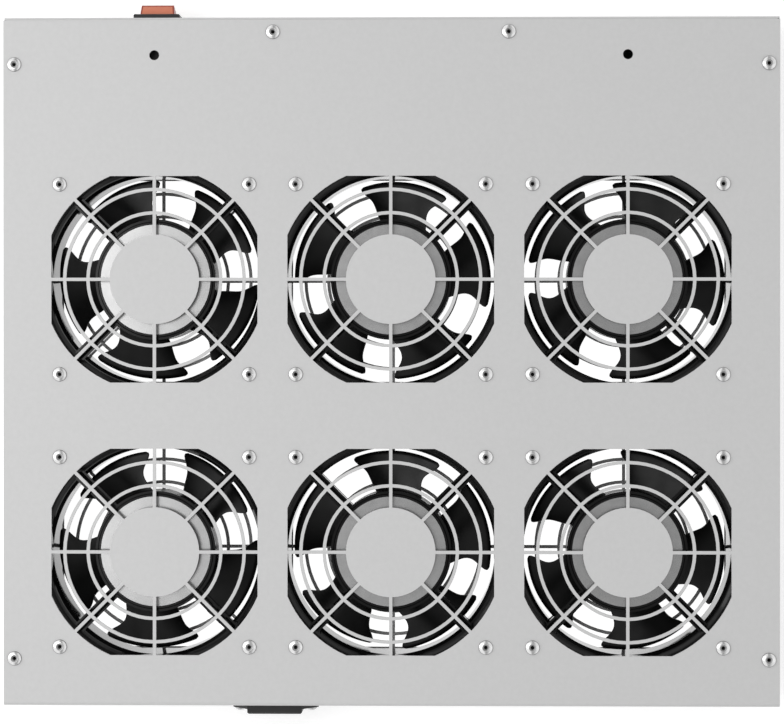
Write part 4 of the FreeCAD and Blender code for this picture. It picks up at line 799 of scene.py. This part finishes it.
def blade(tree, sizes):
    """One closed blade; the grid runs from can to tip and once round the blade's section."""
    grid, along, across = sheet_of(tree, 33, 57)
    root = formula(tree, "SUBTRACT", sizes["Can radius"], 1.2 * MM)
    reach = formula(tree, "SUBTRACT", sizes["Blade tip"], root)
    radius = formula(tree, "MULTIPLY_ADD", along, reach, root)
    # rounded corners where the edges meet the tip
    corner = sizes["Tip corner"]
    into = formula(tree, "SUBTRACT", radius, formula(tree, "SUBTRACT", sizes["Blade tip"], corner))
    into = formula(tree, "MAXIMUM", into, 0.0)
    chord = formula(tree, "SQRT", formula(tree, "MAXIMUM", formula(
        tree, "SUBTRACT", formula(tree, "MULTIPLY", corner, corner), formula(tree, "MULTIPLY", into, into)
    ), 0.0))
    rounding = formula(tree, "DIVIDE", formula(tree, "SUBTRACT", corner, chord), radius)
    pitch = formula(tree, "DIVIDE", 2 * math.pi, sizes["Blades"])
    start = formula(tree, "RADIANS", profile(tree, along, TRAILING))
    start = formula(tree, "ADD", start, rounding)
    end = formula(tree, "RADIANS", profile(tree, along, LEADING))
    end = formula(tree, "SUBTRACT", formula(tree, "SUBTRACT", pitch, end), rounding)
    # once round the section: over the top from edge to edge, then back underneath
    lap = formula(tree, "SUBTRACT", 1.0, formula(tree, "ABSOLUTE", formula(
        tree, "MULTIPLY_ADD", across, 2.0, -1.0
    )))
    share = formula(tree, "MULTIPLY_ADD", formula(
        tree, "COSINE", formula(tree, "MULTIPLY", lap, math.pi)
    ), -0.5, 0.5)
    side = formula(tree, "SIGN", formula(tree, "SUBTRACT", 0.5, across))
    angle = formula(tree, "MULTIPLY_ADD", share, formula(tree, "SUBTRACT", end, start), start)
    # the blade climbs against the turn, with a slight hollow underneath
    half = formula(tree, "MULTIPLY", pitch, 0.5)
    way = formula(tree, "DIVIDE", formula(tree, "SUBTRACT", angle, half), math.radians(29.0))
    fall = formula(tree, "SUBTRACT", sizes["Highest"], sizes["Lowest"])
    drop = formula(tree, "MULTIPLY", fall, formula(tree, "MULTIPLY_ADD", way, 0.5, 0.5))
    arch = formula(tree, "SUBTRACT", 1.0, formula(tree, "MULTIPLY", way, way))
    middle = formula(tree, "SUBTRACT", sizes["Highest"], drop)
    middle = formula(tree, "MULTIPLY_ADD", arch, sizes["Camber"], middle)
    # full thickness in the middle, thin at both edges and at the tip
    nose = formula(tree, "POWER", formula(tree, "SINE", formula(tree, "MULTIPLY", lap, math.pi)), 0.4)
    full = formula(tree, "MULTIPLY", nose, profile(tree, along, FULLNESS))
    thick = formula(tree, "MULTIPLY", formula(tree, "MULTIPLY", sizes["Thickness"], 0.5), full)
    lifted = formula(tree, "MULTIPLY_ADD", sizes["Thickness"], 0.5, middle)
    height = formula(tree, "MULTIPLY_ADD", thick, side, lifted)
    shape = bent(tree, grid, radius, angle, height)
    return add(tree, "GeometryNodeSetShadeSmooth", {"Geometry": shape})


tree, sizes = new_tree("impeller_tree", **{
    "Blades": BLADES, "Turn": 0.0, "Can radius": CAN_RADIUS * MM, "Blade tip": BLADE_TIP * MM,
    "Lowest": BLADE_LOWEST * MM, "Highest": BLADE_HIGHEST * MM, "Thickness": BLADE_THICKNESS * MM,
    "Camber": BLADE_CAMBER * MM, "Tip corner": TIP_CORNER * MM,
})
index = add(tree, "GeometryNodeInputIndex")
step = formula(tree, "MULTIPLY", index, formula(tree, "DIVIDE", 2 * math.pi, sizes["Blades"]))
blades = add(tree, "GeometryNodeInstanceOnPoints", {
    "Points": add(tree, "GeometryNodePoints", [sizes["Blades"]]), "Instance": blade(tree, sizes),
    "Rotation": add(tree, "ShaderNodeCombineXYZ", [0.0, 0.0, step]),
})
whole = tree.nodes.new("GeometryNodeJoinGeometry")
tree.links.new(blades, whole.inputs[0])
tree.links.new(turned_piece(tree, CAN, 96), whole.inputs[0])
end_tree(tree, sizes, add(tree, "GeometryNodeInstanceOnPoints", {
    "Points": add(tree, "GeometryNodeMeshToPoints", [sizes["Places"]]), "Instance": whole.outputs[0],
    "Rotation": add(tree, "ShaderNodeCombineXYZ", [0.0, 0.0, sizes["Turn"]]),
}))

# where the middle of a gap between two blades stands at rest, in degrees
REST_ANGLE = {1: 7.0, 2: 46.5, 3: 34.5, 4: 13.6, 5: 51.2, 6: 29.6}
for number in FANS:
    low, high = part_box(f"fan_{number}_frame")
    impeller = run_tree(
        f"impeller_{number}", tree, [((low.x + high.x) / 2, (low.y + high.y) / 2, low.z)],
        Finish=FINISHES["impeller_black"], Turn=math.radians(REST_ANGLE[number]),
    )
    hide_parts(f"fan_{number}_impeller")
    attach(impeller, f"fan_{number}_rotor")
    real_low, real_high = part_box(f"fan_{number}_impeller")
    seen = [corner.co for corner in impeller.data.vertices]
    print(
        impeller.name, len(impeller.data.polygons), "faces,", round(volume(impeller)), "mm3, z",
        round(min(p.z for p in seen) / MM, 1), round(max(p.z for p in seen) / MM, 1), "against",
        round(real_low.z / MM, 1), round(real_high.z / MM, 1),
    )

# %% Finish every node of the frame
for part in frame["record"]["subparts"]:
    data = frame["nodes"][part["node"]].data
    data.materials.clear()
    data.materials.append(FINISHES[part["material_slot"]])
